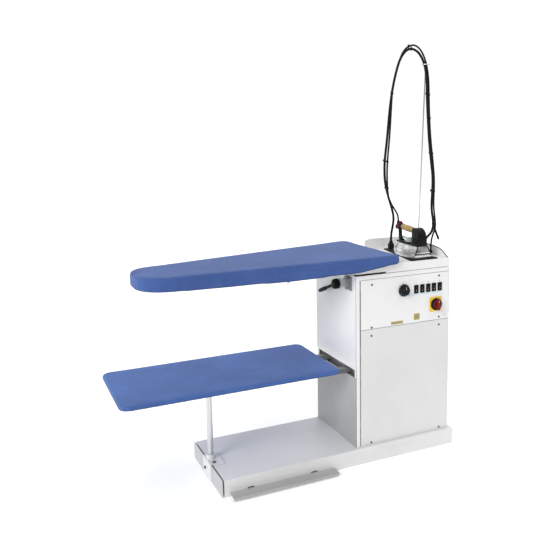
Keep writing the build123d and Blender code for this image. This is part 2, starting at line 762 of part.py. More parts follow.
# ---- steam generator and suction inside the cabinet ----
def boiler():
    """The boiler on its feet, with its safety valve, pressure switch, steam valve and heater flange."""
    x, y, z = BOILER
    top = z + BOILER_RADIUS
    drum = bar((x, y - 130, z), (x, y + 130, z), BOILER_RADIUS)
    inside = bar((x, y - 127, z), (x, y + 127, z), BOILER_RADIUS - 3)
    pieces = [fillet(drum.edges(), 25)]
    for foot_y in (y - 80, y + 80):
        pieces.append(block((x - 70, x + 70), (foot_y - 12, foot_y + 12), (BASE_HEIGHT, z - 60)))
    valve_y = y - 70
    pieces.append(bar((x, valve_y, top - 5), (x, valve_y, top + 40), 9))
    pieces.append(bar((x, valve_y, top + 40), (x, valve_y, top + 55), 12))
    pieces.append(bar((x, y, top - 5), (x, y, top + 25), 7))
    pieces.append(block((x - 22, x + 22), (y - 16, y + 16), (top + 25, top + 70)))
    steam_y = y + 70
    pieces.append(bar((x, steam_y, top - 5), (x, steam_y, top + 30), 8))
    pieces.append(block((x - 20, x + 20), (steam_y - 18, steam_y + 18), (top + 30, top + 85)))
    pieces.append(bar((x, y - 128, z), (x, y - 150, z), 45))
    pieces.append(bar((x, y - 150, z), (x, y - 162, z), 16))
    heater_way = bar((x, y - 170, z), (x, y - 100, z), 10)
    return joined(pieces) - fillet(inside.edges(), 22) - heater_way


def fan_housing():
    """The scroll of the suction fan, with its outlet under the column."""
    x, y, z = FAN
    outer = bar((x, y - 45, z), (x, y + 45, z), 95) + block((36, x), (y - 27, y + 27), (z, 552))
    inner = bar((x, y - 42, z), (x, y + 42, z), 90) + block((39, x - 3), (y - 24, y + 24), (z, 560))
    outlet = block((86, x + 10), (y - 60, y + 60), (505, 560))
    eye = bar((x, y - 60, z), (x, y - 40, z), 35)
    axle_hole = bar((x, y + 40, z), (x, y + 60, z), 10)
    return outer - outlet - inner - eye - axle_hole


def fan_impeller():
    x, y, z = FAN
    wheel = bar((x, y + 30, z), (x, y + 34, z), FAN_RADIUS)
    hub = bar((x, y - 10, z), (x, y + 34, z), 14)
    axle = bar((x, y + 34, z), (x, y + 66, z), 5)
    shape = wheel + hub + axle
    blade = Pos(62, 0, 0) * Rot(0, 35, 0) * Box(24, 48, 2)
    middle = Pos(*place(x, y + 6, z))
    for step in range(FAN_BLADES):
        shape = shape + middle * Rot(0, step * 360 / FAN_BLADES, 0) * blade
    return shape


def fan_motor():
    x, y, z = FAN
    case = bar((x, y + 50, z), (x, y + 130, z), 42)
    shape = fillet(case.edges(), 5) - bar((x, y + 40, z), (x, y + 70, z), 5.1)
    bracket = block((x - 50, x + 50), (y + 45, y + 50), (z - 50, z + 50))
    return shape + (bracket - bar((x, y + 40, z), (x, y + 55, z), 10))


NODES = {
    "base_tray": base_tray,
    "base_pan": base_pan,
    "base_end_plate": base_end_plate,
    "pedal": pedal,
    "pedal_hinge": pedal_hinge,
    "pedal_spring": pedal_spring,
    "pedal_switch": pedal_switch,
    "cabinet_frame": cabinet_frame,
    "side_rail": side_rail,
    "left_upper_panel": left_upper_panel,
    "left_lower_panel": lambda: left_panel(BASE_HEIGHT, SLOT_LOW),
    "right_panel": right_panel,
    "back_panel": back_panel,
    "control_panel": control_panel,
    "front_lower_panel": front_lower_panel,
    "panel_screws": panel_screws,
    "top_cover": top_cover,
    "gallery": gallery,
    "iron_rest_mat": iron_rest_mat,
    "steam_outlet": steam_outlet,
    "cable_gland": cable_gland,
    "hose_rod": hose_rod,
    "rod_socket": rod_socket,
    "steam_hose": lambda: cord("steam_hose", HOSE_ROUTE, HOSE_RADIUS),
    "steam_hose_tail": lambda: cord("steam_hose_tail", HOSE_TAIL_ROUTE, HOSE_RADIUS),
    "iron_cable": lambda: cord("iron_cable", CABLE_ROUTE, CABLE_RADIUS),
    "iron_cable_tail": lambda: cord("iron_cable_tail", CABLE_TAIL_ROUTE, CABLE_RADIUS),
    "hose_ties": hose_ties,
    "iron_sole": iron_sole,
    "iron_body": iron_body,
    "iron_housing": iron_housing,
    "iron_handle": iron_handle,
    "iron_front_post": iron_front_post,
    "iron_head": iron_head,
    "iron_boot": iron_boot,
    "iron_dial": iron_dial,
    "steam_button": steam_button,
    "thermostat_knob": thermostat_knob,
    "main_switch_plate": main_switch_plate,
    "main_switch_knob": main_switch_knob,
    "rocker_frames": rocker_frames,
    "board_chamber": board_chamber,
    "board_cover": board_cover,
    "board_column": board_column,
    "clamp_lever": clamp_lever,
    "board_stop": board_stop,
    "lower_board_core": lower_board_core,
    "lower_board_cover": lower_board_cover,
    "shelf_bracket": shelf_bracket,
    "board_post": board_post,
    "post_foot": post_foot,
    "boiler": boiler,
    "fan_housing": fan_housing,
    "fan_impeller": fan_impeller,
    "fan_motor": fan_motor,
}


for name, make in NODES.items():
    save(name, make())
for number, rocker_x in enumerate(ROCKER_XS, 1):
    save(f"rocker_{number}", rocker(rocker_x))
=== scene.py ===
"""The looks of the vacuum ironing table, its steam generator cabinet and its iron."""
import json
import math

import bmesh
import bpy
from mathutils import Matrix, Vector
from mathutils.bvhtree import BVHTree


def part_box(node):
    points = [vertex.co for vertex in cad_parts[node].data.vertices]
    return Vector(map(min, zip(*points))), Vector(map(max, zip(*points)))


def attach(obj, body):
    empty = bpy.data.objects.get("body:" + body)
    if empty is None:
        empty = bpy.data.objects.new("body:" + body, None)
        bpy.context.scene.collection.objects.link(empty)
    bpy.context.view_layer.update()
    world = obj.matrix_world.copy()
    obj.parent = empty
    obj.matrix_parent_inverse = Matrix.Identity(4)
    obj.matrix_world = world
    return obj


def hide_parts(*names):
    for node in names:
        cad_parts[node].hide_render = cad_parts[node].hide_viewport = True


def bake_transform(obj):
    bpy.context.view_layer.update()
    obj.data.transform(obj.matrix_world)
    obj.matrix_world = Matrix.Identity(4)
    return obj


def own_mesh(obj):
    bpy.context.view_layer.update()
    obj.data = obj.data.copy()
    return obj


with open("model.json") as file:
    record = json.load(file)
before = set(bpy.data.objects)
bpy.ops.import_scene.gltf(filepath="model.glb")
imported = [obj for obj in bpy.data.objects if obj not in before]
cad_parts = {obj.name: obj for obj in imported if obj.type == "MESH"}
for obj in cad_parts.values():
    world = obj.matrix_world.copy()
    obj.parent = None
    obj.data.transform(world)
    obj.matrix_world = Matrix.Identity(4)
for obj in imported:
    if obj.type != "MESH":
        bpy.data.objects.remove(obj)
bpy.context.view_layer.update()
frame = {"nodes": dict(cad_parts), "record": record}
NODES = frame["nodes"]
COVER_LOW, COVER_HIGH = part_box("top_cover")
CORNER = Vector((COVER_LOW.x, COVER_LOW.y, 0))


# ---- sizes, in metres, x and y from the cabinet's left front corner ----
CABINET_WIDTH = COVER_HIGH.x - COVER_LOW.x
CABINET_DEPTH = COVER_HIGH.y - COVER_LOW.y
COVER_Z = COVER_HIGH.z

BOARD_TOP_Z = 0.900
BOARD_EDGE_Z = 0.838
BOARD_POINTS = [(0.210, -0.028), (-0.890, -0.028), (-0.890, 0.237), (0.210, 0.486)]
BOARD_RADII = [0.032, 0.122, 0.104, 0.040]
BOARD_WALL = 0.0095
CHAMBER_TOP_Z = 0.889
OVER_CABINET_Z = 0.8665
BOARD_MIDDLE_Y = 0.15

SHELF_TOP_Z = 0.421
SHELF_EDGE_Z = 0.407
SHELF_POINTS = [(-0.975, 0.022), (-0.048, 0.022), (-0.048, 0.477), (-0.975, 0.477)]
SHELF_RADII = [0.038] * 4

IRON_X = 0.352
HEEL_Y = 0.030

KNOB = (0.234, 0.741)
CLAMP = (0.156, 0.766)  # across the left side panel
ROCKER_XS = (0.298, 0.329, 0.360, 0.390, 0.421)
ROCKER_Z = 0.739
SWITCH = (0.399, 0.662)
PRINT = (-0.0001, 0.0003)  # the heights of a printed mark over its panel

HOSE_RADIUS = 0.0055
CABLE_RADIUS = 0.004
HOSE_ROUTE = [
    (0.377, 0.336, 0.903), (0.377, 0.336, 0.935), (0.383, 0.331, 0.972), (0.380, 0.317, 1.015),
    (0.361, 0.303, 1.060), (0.334, 0.293, 1.118), (0.309, 0.284, 1.190), (0.301, 0.274, 1.280),
    (0.309, 0.264, 1.380), (0.316, 0.259, 1.490), (0.327, 0.255, 1.590), (0.347, 0.252, 1.682),
    (0.371, 0.249, 1.752), (0.413, 0.246, 1.790), (0.461, 0.243, 1.775), (0.490, 0.236, 1.722),
    (0.496, 0.226, 1.650), (0.487, 0.211, 1.575), (0.483, 0.196, 1.485), (0.480, 0.180, 1.380),
    (0.483, 0.166, 1.285), (0.486, 0.152, 1.200), (0.476, 0.143, 1.150),
]
HOSE_TAIL_ROUTE = [
    (0.476, 0.143, 1.150), (0.468, 0.1358, 1.110), (0.464, 0.130, 1.063), (0.468, 0.124, 1.026),
    (0.463, 0.113, 0.993), (0.444, 0.097, 0.971), (0.420, 0.082, 0.958), (0.398, 0.071, 0.951),
]
CABLE_ROUTE = [
    (0.450, 0.112, 0.8844), (0.450, 0.112, 0.915), (0.456, 0.109, 0.950), (0.476, 0.113, 0.985),
    (0.480, 0.126, 1.030), (0.481, 0.138, 1.075), (0.487, 0.146, 1.125), (0.496, 0.156, 1.195),
    (0.496, 0.169, 1.278), (0.492, 0.184, 1.378), (0.494, 0.200, 1.488), (0.502, 0.216, 1.578),
    (0.509, 0.230, 1.650), (0.504, 0.240, 1.722), (0.482, 0.252, 1.784), (0.443, 0.257, 1.809),
    (0.394, 0.259, 1.785), (0.366, 0.261, 1.725), (0.346, 0.264, 1.655), (0.336, 0.266, 1.590),
    (0.331, 0.268, 1.490), (0.325, 0.269, 1.385), (0.315, 0.270, 1.290), (0.313, 0.271, 1.215),
    (0.317, 0.272, 1.160),
]
CABLE_TAIL_ROUTE = [
    (0.317, 0.272, 1.160), (0.3194, 0.2726, 1.127), (0.332, 0.263, 1.087), (0.345, 0.246, 1.056),
    (0.352, 0.234, 1.034), (0.352, 0.2326, 1.012),
]


def cab(x, y, z):
    """A point measured from the cabinet's left front corner and the floor."""
    return CORNER + Vector((x, y, z))


# ---- camera ----
def make_camera():
    """The photo's view, from in front of the table's left end."""
    yaw, pitch, roll = 0.45095, 0.15448, -0.01167
    forward = Vector((
        math.sin(yaw) * math.cos(pitch), math.cos(yaw) * math.cos(pitch), -math.sin(pitch)
    ))
    level = Vector((math.cos(yaw), -math.sin(yaw), 0))
    upright = level.cross(forward)
    right = level * math.cos(roll) + upright * math.sin(roll)
    up = upright * math.cos(roll) - level * math.sin(roll)
    data = bpy.data.cameras.new("camera")
    data.lens = 45.283
    data.sensor_width = 36
    data.shift_x = -0.0818
    data.shift_y = -0.0545
    camera = bpy.data.objects.new("camera", data)
    bpy.context.scene.collection.objects.link(camera)
    turn = Matrix((right, up, -forward)).transposed().to_4x4()
    camera.matrix_world = Matrix.Translation(cab(-1.3578, -2.4653, 1.3958)) @ turn
    bpy.context.scene.camera = camera


# ---- materials ----
class Look:
    """A material whose colour, roughness and bump come from nodes."""

    def __init__(self, name, **sockets):
        self.material = bpy.data.materials.new(name)
        self.material.use_nodes = True
        self.tree = self.material.node_tree
        self.shader = self.tree.nodes["Principled BSDF"]
        self.set(self.shader, sockets)
        self.place = self.node("TexCoord").outputs["Object"]

    def set(self, node, inputs):
        for key, value in inputs.items():
            socket = node.inputs[key if isinstance(key, int) else key.replace("_", " ")]
            if isinstance(value, bpy.types.NodeSocket):
                self.tree.links.new(value, socket)
            else:
                socket.default_value = value

    def node(self, kind, settings=None, **inputs):
        node = self.tree.nodes.new("ShaderNode" + kind)
        for key, value in (settings or {}).items():
            setattr(node, key, value)
        self.set(node, inputs)
        return node

    def stretched(self, x, y, z):
        """The object's coordinates, with a scale of its own along each axis."""
        return self.node("Mapping", Vector=self.place, Scale=(x, y, z)).outputs[0]

    def noise(self, scale, detail=3.0, vector=None, roughness=0.55):
        node = self.node(
            "TexNoise", Vector=vector or self.place, Scale=scale, Detail=detail, Roughness=roughness
        )
        return node.outputs["Fac"]

    def wave(self, direction, scale, distortion, vector=None, **inputs):
        """Even bands along one direction, such as threads or plies."""
        settings = {"wave_type": "BANDS", "bands_direction": direction}
        inputs.update(Vector=vector or self.place, Scale=scale, Distortion=distortion)
        return self.node("TexWave", settings, **inputs).outputs["Fac"]

    def ramp(self, value, stops):
        node = self.node("ValToRGB", Fac=value)
        ramp = node.color_ramp
        while len(ramp.elements) < len(stops):
            ramp.elements.new(0.5)
        for element, (position, colour) in zip(ramp.elements, stops):
            element.position = position
            element.color = (*colour, 1)
        return node.outputs["Color"]

    def shaded(self, value, colour, *stops):
        """A ramp over shades of one colour: each stop is a position and the shade's factor."""
        return self.ramp(value, [(at, [min(1, c * factor) for c in colour]) for at, factor in stops])

    def spread(self, value, low, high):
        """A value from 0.3 to 0.7 mapped to low to high."""
        limits = {"From_Min": 0.3, "From_Max": 0.7, "To_Min": low, "To_Max": high}
        return self.node("MapRange", Value=value, **limits).outputs[0]

    def product(self, one, two):
        node = self.node("Math", {"operation": "MULTIPLY"})
        self.set(node, {0: one, 1: two})
        return node.outputs[0]

    def weighed(self, *terms):
        """The sum of values, each times its share."""
        total = 0.0
        for value, share in terms:
            node = self.node("Math", {"operation": "MULTIPLY_ADD"})
            self.set(node, {0: value, 1: share, 2: total})
            total = node.outputs[0]
        return total

    def bump(self, height, distance, strength=1.0, normal=None):
        node = self.node("Bump", Height=height, Distance=distance, Strength=strength)
        if normal:
            self.set(node, {"Normal": normal})
        return node.outputs[0]

    def finish(self, colour, roughness, normal=None):
        for name, value in (("Base Color", colour), ("Roughness", roughness), ("Normal", normal)):
            if value is not None:
                self.tree.links.new(value, self.shader.inputs[name])
        return self.material


def grey(value):
    return (value, value, value)


def powder_coat(name, colour, grain=1500, dirt=0.05):
    """Baked powder coat: faint orange peel, faint cloudiness and rubbed patches."""
    look = Look(name, Metallic=0.0, Coat_Weight=0.12, Coat_Roughness=0.25)
    tint = look.shaded(look.noise(3.5, 4), colour, (0.3, 1 - dirt), (0.5, 1), (0.72, 1 + dirt * 0.5))
    rough = look.spread(look.noise(14, 5), 0.3, 0.46)
    return look.finish(tint, rough, look.bump(look.noise(grain, 2), 0.00008, 0.35))


def scuffed_coat(name, colour):
    """Powder coat that shoes and laundry have scuffed, with fine streaks along its length."""
    look = Look(name, Metallic=0.0, Coat_Weight=0.06, Coat_Roughness=0.3)
    streak = look.noise(1, 5, look.stretched(4, 90, 30))
    tone = look.weighed((look.noise(5, 5), 0.6), (streak, 0.45))
    tint = look.shaded(tone, colour, (0.3, 0.9), (0.45, 0.96), (0.55, 1), (0.75, 1.05))
    peel = look.bump(look.noise(1300, 2), 0.0001, 0.35)
    return look.finish(tint, look.spread(streak, 0.34, 0.52), look.bump(streak, 0.0001, 0.2, peel))


def brushed(name, colour, along, rough=(0.2, 0.38)):
    """Brushed or drawn metal with its grain along one axis."""
    look = Look(name, Metallic=1.0)
    scale = [900, 900, 900]
    scale["xyz".index(along)] = 12
    grain = look.noise(1, 4, look.stretched(*scale))
    tint = look.shaded(grain, colour, (0.3, 0.82), (0.5, 1), (0.75, 1.12))
    return look.finish(tint, look.spread(look.noise(9, 3), *rough), look.bump(grain, 0.00006, 0.25))


def zinc(name):
    """Zinc plate with its crystal spangle and dull patches."""
    look = Look(name, Metallic=1.0)
    cell = look.node("TexVoronoi", Vector=look.place, Scale=70.0)
    cloud = look.noise(16, 4)
    tone = look.weighed((cloud, 0.7), (cell.outputs["Color"], 0.3))
    tint = look.ramp(tone, [(0.25, (0.36, 0.37, 0.39)), (0.5, (0.5, 0.51, 0.53)), (0.8, (0.66, 0.67, 0.68))])
    return look.finish(tint, look.spread(cloud, 0.3, 0.5), look.bump(look.noise(300, 2), 0.0001, 0.15))


def fabric(name, colour):
    """Blue cotton: a plain weave, slubs, faded patches and a soft sheen."""
    look = Look(
        name, Sheen_Weight=0.2, Sheen_Roughness=0.45, Sheen_Tint=(0.75, 0.82, 1.0, 1), Specular_IOR_Level=0.25
    )
    warp, weft, rise = [look.wave(axis, 270.0, 0.6, Detail=1.0, Detail_Scale=3.0) for axis in "XYZ"]
    weave = look.weighed((rise, 0.35), (look.product(warp, weft), 1.0))
    slub = look.noise(1, 3, look.stretched(35, 480, 480))
    fade = look.noise(6, 5, roughness=0.6)
    blotch = look.noise(28, 4)
    tone = look.weighed((blotch, 0.2), (fade, 0.5), (slub, 0.12))
    tint = look.shaded(tone, colour, (0.28, 0.78), (0.38, 0.92), (0.46, 1.03), (0.6, 1.2))
    thread = look.node("Mix", {"data_type": "RGBA", "blend_type": "MULTIPLY"})
    look.set(thread, {0: 0.25, 6: tint, 7: look.ramp(weave, [(0.0, grey(0.55)), (0.8, grey(1.0))])})
    normal = look.bump(weave, 0.0003, 0.5, look.bump(slub, 0.0004, 0.3))
    return look.finish(thread.outputs[2], look.spread(blotch, 0.78, 0.92), normal)


def rubber(name, colour, grain=900, rough=(0.42, 0.62)):
    """Dull rubber or thread with a fine grain and a faint bloom."""
    look = Look(name, Specular_IOR_Level=0.10)
    bloom = look.noise(22, 4)
    tint = look.shaded(bloom, colour, (0.35, 0.7), (0.5, 1), (0.75, 1.7))
    return look.finish(tint, look.spread(bloom, *rough), look.bump(look.noise(grain, 3), 0.00015, 0.35))


def braid(name, colour):
    """A woven textile jacket over rubber: two crossing sets of threads."""
    look = Look(name, Sheen_Weight=0.03, Specular_IOR_Level=0.15)
    one = look.wave("DIAGONAL", 210.0, 0.4)
    two = look.wave("DIAGONAL", 210.0, 0.4, look.stretched(-1, 1, 1))
    threads = look.product(one, two)
    tint = look.shaded(threads, colour, (0.05, 0.5), (0.4, 1), (0.9, 1.9))
    return look.finish(tint, look.spread(look.noise(30, 4), 0.55, 0.8), look.bump(threads, 0.0003, 0.6))


def moulded(name, colour, rough=(0.24, 0.42), marbled=0.0):
    """Moulded plastic with a fine grain, handling shine and, for bakelite, a faint marbling."""
    look = Look(name, Specular_IOR_Level=0.14)
    swirl = look.noise(45, 5, roughness=0.7)
    tint = look.shaded(swirl, colour, (0.3, 0.75 - marbled), (0.5, 1), (0.78, 1.3 + marbled * 3))
    wear = look.spread(look.noise(60, 4), *rough)
    return look.finish(tint, wear, look.bump(look.noise(2200, 2), 0.00005, 0.3))


def cork_look():
    """Pressed cork: pale grains between dark flecks."""
    look = Look("cork_grip", Specular_IOR_Level=0.3)
    cell = look.node("TexVoronoi", Vector=look.place, Scale=420.0, Randomness=1.0)
    fleck = look.noise(160, 4, roughness=0.7)
    tone = look.weighed((fleck, 0.7), (cell.outputs["Color"], 0.4))
    tint = look.ramp(tone, [
        (0.22, (0.06, 0.03, 0.01)), (0.36, (0.22, 0.13, 0.045)),
        (0.55, (0.38, 0.26, 0.105)), (0.8, (0.52, 0.38, 0.18)),
    ])
    normal = look.bump(cell.outputs["Distance"], 0.0004, 0.4, look.bump(fleck, 0.0006, 0.4))
    return look.finish(tint, look.spread(fleck, 0.5, 0.75), normal)


def plywood():
    """Birch plywood: long grain on its faces and plies on its edges."""
    look = Look("birch_ply", Specular_IOR_Level=0.35)
    grain = look.noise(1, 6, look.stretched(6, 120, 120), 0.65)
    tone = look.weighed((look.wave("Z", 110.0, 0.5), 0.15), (grain, 0.8))
    tint = look.ramp(tone, [(0.3, (0.34, 0.21, 0.11)), (0.5, (0.52, 0.37, 0.21)), (0.7, (0.66, 0.5, 0.32))])
    return look.finish(tint, look.spread(grain, 0.55, 0.75), look.bump(grain, 0.0003, 0.3))


def polished(name, colour, rough):
    """Polished cast metal with fine rubbing marks and a few dull patches."""
    look = Look(name, Metallic=1.0)
    rub = look.noise(1, 5, look.stretched(700, 60, 700))
    patch = look.noise(38, 5)
    tint = look.shaded(patch, colour, (0.3, 0.8), (0.5, 1), (0.75, 1.1))
    return look.finish(tint, look.spread(patch, *rough), look.bump(rub, 0.00006, 0.25))


def mirror_cast(name):
    """Buffed aluminium casting: bright, with dark drawn-out streaks of painted reflection where the dark mat
    would mirror in it.
    """
    look = Look(name, Metallic=1.0)
    painted_reflection = look.noise(1, 3, look.stretched(9, 13, 46), 0.5)
    rub = look.noise(1, 5, look.stretched(700, 60, 700))
    # Painted reflection: dark drawn-out streaks stand in for the dark mat reflected in the bright metal.
    tint = look.ramp(painted_reflection, [
        (0.34, (0.26, 0.26, 0.265)), (0.45, (0.50, 0.50, 0.51)), (0.55, grey(0.80)), (0.75, grey(0.90)),
    ])
    return look.finish(tint, look.spread(look.noise(38, 5), 0.05, 0.16), look.bump(rub, 0.00005, 0.2))


def printed(name, colour):
    """Ink or film on a panel, a little rubbed."""
    look = Look(name, Specular_IOR_Level=0.45)
    rub = look.noise(220, 4)
    tint = look.shaded(rub, colour, (0.3, 0.86), (0.5, 1), (0.75, 1.08))
    return look.finish(tint, look.spread(rub, 0.35, 0.55), look.bump(rub, 0.00004, 0.2))


def make_looks():
    """A material for each slot of the CAD, and a few that pieces share."""
    return {
        "white_paint": powder_coat("white_coat", grey(0.79)),
        # Painted shade: the front lower panel takes a greyer copy of the white coat, standing in for the
        # shade that falls on it.
        "painted_shade_lower": powder_coat("lower_panel_shade_painted_coat", grey(0.68)),
        "gallery_paint": powder_coat("pale_grey_coat", (0.82, 0.82, 0.81)),
        # Partly painted shade: the coat of the side rail and the shelf bracket is darkened to the shaded grey
        # of the rail under the lower board.
        "painted_shade_rail": powder_coat("rail_shade_painted_coat", grey(0.17), 1200, 0.15),
        "stop_steel": powder_coat("grey_bracket_coat", (0.24, 0.25, 0.25), 900, 0.2),
        "dark_steel": powder_coat("black_coat", (0.03, 0.03, 0.032), 1100, 0.3),
        "screw_steel": powder_coat("black_screws", (0.025, 0.025, 0.028), 2500, 0.3),
        "base_paint": scuffed_coat("base_coat", grey(0.71)),
        # Painted shade: the base's end plate takes a darker copy of the base coat, standing in for the shade
        # on that side.
        "painted_shade_end": scuffed_coat("end_plate_shade_painted_coat", grey(0.47)),
        # Painted shade: the pedal's coat is a darker copy of the base coat, standing in for the shadow that
        # the base casts on the pedal.
        "painted_shade_pedal": scuffed_coat("pedal_shade_painted_coat", (0.38, 0.38, 0.375)),
        # Painted shade: the left lower panel's coat is a grey copy of the white coat, standing in for the
        # shadow of the lower board on it.
        "painted_shade_left": scuffed_coat("left_panel_shade_painted_coat", (0.36, 0.36, 0.355)),
        "zinc_steel": zinc("zinc_plate"),
        "stainless": brushed("brushed_stainless", (0.62, 0.63, 0.64), "x"),
        "drawn_steel": brushed("drawn_steel", (0.66, 0.67, 0.68), "z", (0.16, 0.3)),
        "boiler_steel": brushed("boiler_steel", grey(0.55), "y", (0.3, 0.45)),
        "polished_aluminium": mirror_cast("polished_aluminium"),
        "sole_aluminium": polished("sole_aluminium", grey(0.80), (0.18, 0.32)),
        "nickel": polished("nickel", (0.62, 0.6, 0.56), (0.15, 0.3)),
        "blue_fabric": fabric("blue_cotton", (0.053, 0.109, 0.324)),
        # Painted light: a lighter copy of the blue cotton for the lower board, making up for the shade of the
        # upper board on it.
        "painted_light_fabric": fabric("painted_light_cotton", (0.064, 0.143, 0.41)),
        "blue_thread": rubber("blue_thread", (0.05, 0.09, 0.25), 4000, (0.6, 0.8)),
        "blue_piping": rubber("blue_piping", (0.022, 0.042, 0.13), 3000, (0.6, 0.8)),
        "board_wood": plywood(),
        "cork": cork_look(),
        "black_plastic": moulded("black_plastic", (0.008, 0.008, 0.009)),
        "red_plastic": moulded("red_plastic", (0.15, 0.012, 0.014), (0.22, 0.34)),
        "maroon_plastic": moulded("maroon_bakelite", (0.045, 0.006, 0.01), (0.12, 0.28), 0.3),
        "yellow_plate": moulded("yellow_plate", (0.86, 0.55, 0.035), (0.3, 0.45)),
        "grey_plastic": moulded("grey_plastic", (0.36, 0.43, 0.39), (0.2, 0.32)),
        "black_rubber": rubber("black_rubber", (0.006, 0.006, 0.007)),
        # Grey for the panel joints and for the painted shade strip along the front panels' left edge.
        "joint_seal_and_painted_shade": rubber("joint_seal_and_painted_shade", grey(0.22)),
        "silicone": rubber("black_silicone", grey(0.01), 500, (0.5, 0.7)),
        "braided": braid("braided_jacket", (0.008, 0.008, 0.009)),
        "pale_blue_ink": printed("pale_blue_film", (0.55, 0.74, 0.82)),
        "amber_film": printed("amber_film", (0.42, 0.34, 0.04)),
        "grey_ink": printed("grey_ink", (0.25, 0.25, 0.27)),
        "white_ink": printed("white_ink", (0.8, 0.8, 0.78)),
    }


# ---- mesh building ----
def pose_of(origin, z_way=(0, 0, 1), x_way=(1, 0, 0)):
    """A matrix at origin whose z axis points along z_way."""
    z, side = Vector(z_way).normalized(), Vector(x_way)
    if abs(side.normalized().dot(z)) > 0.95:
        side = Vector((0, 1, 0))
    y = z.cross(side).normalized()
    x = y.cross(z)
    return Matrix.Translation(Vector(origin)) @ Matrix((x, y, z)).transposed().to_4x4()


def swept(points, closed=False):
    """For each point of a path: the point and two directions square to the path, without twist."""
    count = len(points)
    tangents = []
    for i in range(count):
        before = points[(i - 1) % count] if closed or i else points[0]
        after = points[(i + 1) % count] if closed or i < count - 1 else points[-1]
        tangents.append((after - before).normalized())
    side = tangents[0].orthogonal().normalized()
    frames = []
    for point, tangent in zip(points, tangents):
        side = (side - tangent * side.dot(tangent)).normalized()
        frames.append((point, side, tangent.cross(side)))
    return frames


class Shape:
    """Closed shapes gathered into one mesh."""

    def __init__(self):
        self.bm = bmesh.new()

    def loft(self, rings, closed=False):
        """Skin over rings of points, capped at both ends or joined into a loop."""
        made = [[self.bm.verts.new(p) for p in ring] for ring in rings]
        count = len(made[0])
        pairs = list(zip(made, made[1:]))
        if closed:
            pairs.append((made[-1], made[0]))
        for one, two in pairs:
            for i in range(count):
                j = (i + 1) % count
                self.bm.faces.new((one[i], one[j], two[j], two[i]))
        if not closed:
            self.bm.faces.new(made[0][::-1])
            self.bm.faces.new(made[-1])
        return self

    def revolve(self, pose, profile, count=48, flutes=0, depth=0.0):
        """A turned shape: profile is radius and height, and flutes cut the rings that have a third value."""
        rings = []
        for radius, height, *cut in profile:
            ring = []
            for i in range(count):
                angle = 2 * math.pi * i / count
                r = radius
                if cut:
                    r -= depth * (0.5 + 0.5 * math.cos(flutes * angle)) * cut[0]
                ring.append(pose @ Vector((r * math.cos(angle), r * math.sin(angle), height)))
            rings.append(ring)
        return self.loft(rings)

    def tube(self, points, radius, count=12, closed=False, flat=1.0):
        """A round or flattened tube. radius is one number or one for each point."""
        radii = radius if isinstance(radius, list) else [radius] * len(points)
        rings = []
        for (point, one, two), r in zip(swept(points, closed), radii):
            rings.append([
                point + one * (r * math.cos(2 * math.pi * i / count))
                + two * (r * flat * math.sin(2 * math.pi * i / count))
                for i in range(count)
            ])
        return self.loft(rings, closed)

    def block(self, low, high, radius=0.001, segments=3, pose=None):
        """A box with rounded edges, between two corners."""
        low, high = Vector(low), Vector(high)
        part = bmesh.new()
        bmesh.ops.create_cube(part, size=1)
        bmesh.ops.scale(part, vec=high - low, verts=part.verts)
        bmesh.ops.translate(part, vec=(low + high) / 2, verts=part.verts)
        return self.merge(part, part.edges[:], min(radius, 0.49 * min(high - low)), segments, pose)

    def bar(self, pose, centre, half, heights, radius=0.0001, segments=1):
        """A block over a pose, from its centre, its half sizes and its two heights."""
        (x, y), (a, b), (low, high) = centre, half, heights
        return self.block((x - a, y - b, low), (x + a, y + b, high), radius, segments, pose)

    def slab(self, outline, low, high, radius=0.001, segments=3, pose=None):
        """A flat plate over an outline of x, y points, with its rims rounded."""
        part = bmesh.new()
        face = part.faces.new([part.verts.new((x, y, low)) for x, y in outline])
        made = bmesh.ops.extrude_face_region(part, geom=[face])
        top = [v for v in made["geom"] if isinstance(v, bmesh.types.BMVert)]
        bmesh.ops.translate(part, vec=(0, 0, high - low), verts=top)
        bmesh.ops.recalc_face_normals(part, faces=part.faces)
        rims = [e for e in part.edges if abs(e.verts[0].co.z - e.verts[1].co.z) < 1e-7]
        return self.merge(part, rims, radius, segments, pose)

    def merge(self, part, edges, radius, segments, pose):
        """Rounds a part's edges, moves it to a pose and adds it."""
        if radius:
            bmesh.ops.bevel(
                part, geom=edges, offset=radius, segments=segments, profile=0.5, affect="EDGES"
            )
        if pose is not None:
            bmesh.ops.transform(part, matrix=pose, verts=part.verts)
        mesh = bpy.data.meshes.new("part")
        part.to_mesh(mesh)
        part.free()
        self.bm.from_mesh(mesh)
        bpy.data.meshes.remove(mesh)
        return self

    def piece(self, name, look, body, replaces=(), slot=None, angle=38):
        """The finished mesh as a named piece that rides a body and stands for CAD nodes.

        Its material is its look; the slot argument is not used.
        """
        bmesh.ops.recalc_face_normals(self.bm, faces=self.bm.faces)
        mesh = bpy.data.meshes.new(name)
        self.bm.to_mesh(mesh)
        self.bm.free()
        for polygon in mesh.polygons:
            polygon.use_smooth = True
        mesh.set_sharp_from_angle(angle=math.radians(angle))
        mesh.materials.append(LOOKS[look])
        piece = bpy.data.objects.new(name, mesh)
        bpy.context.scene.collection.objects.link(piece)
        if body:
            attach(piece, body)
        if replaces:
            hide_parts(*replaces)
        return piece


def next_round(loop):
    """Each item of a loop with the one after it."""
    return zip(loop, loop[1:] + loop[:1])


def node_box(node):
    """The low corner, the high corner and the centre of a CAD node's box."""
    low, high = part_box(node)
    return low, high, (low + high) / 2


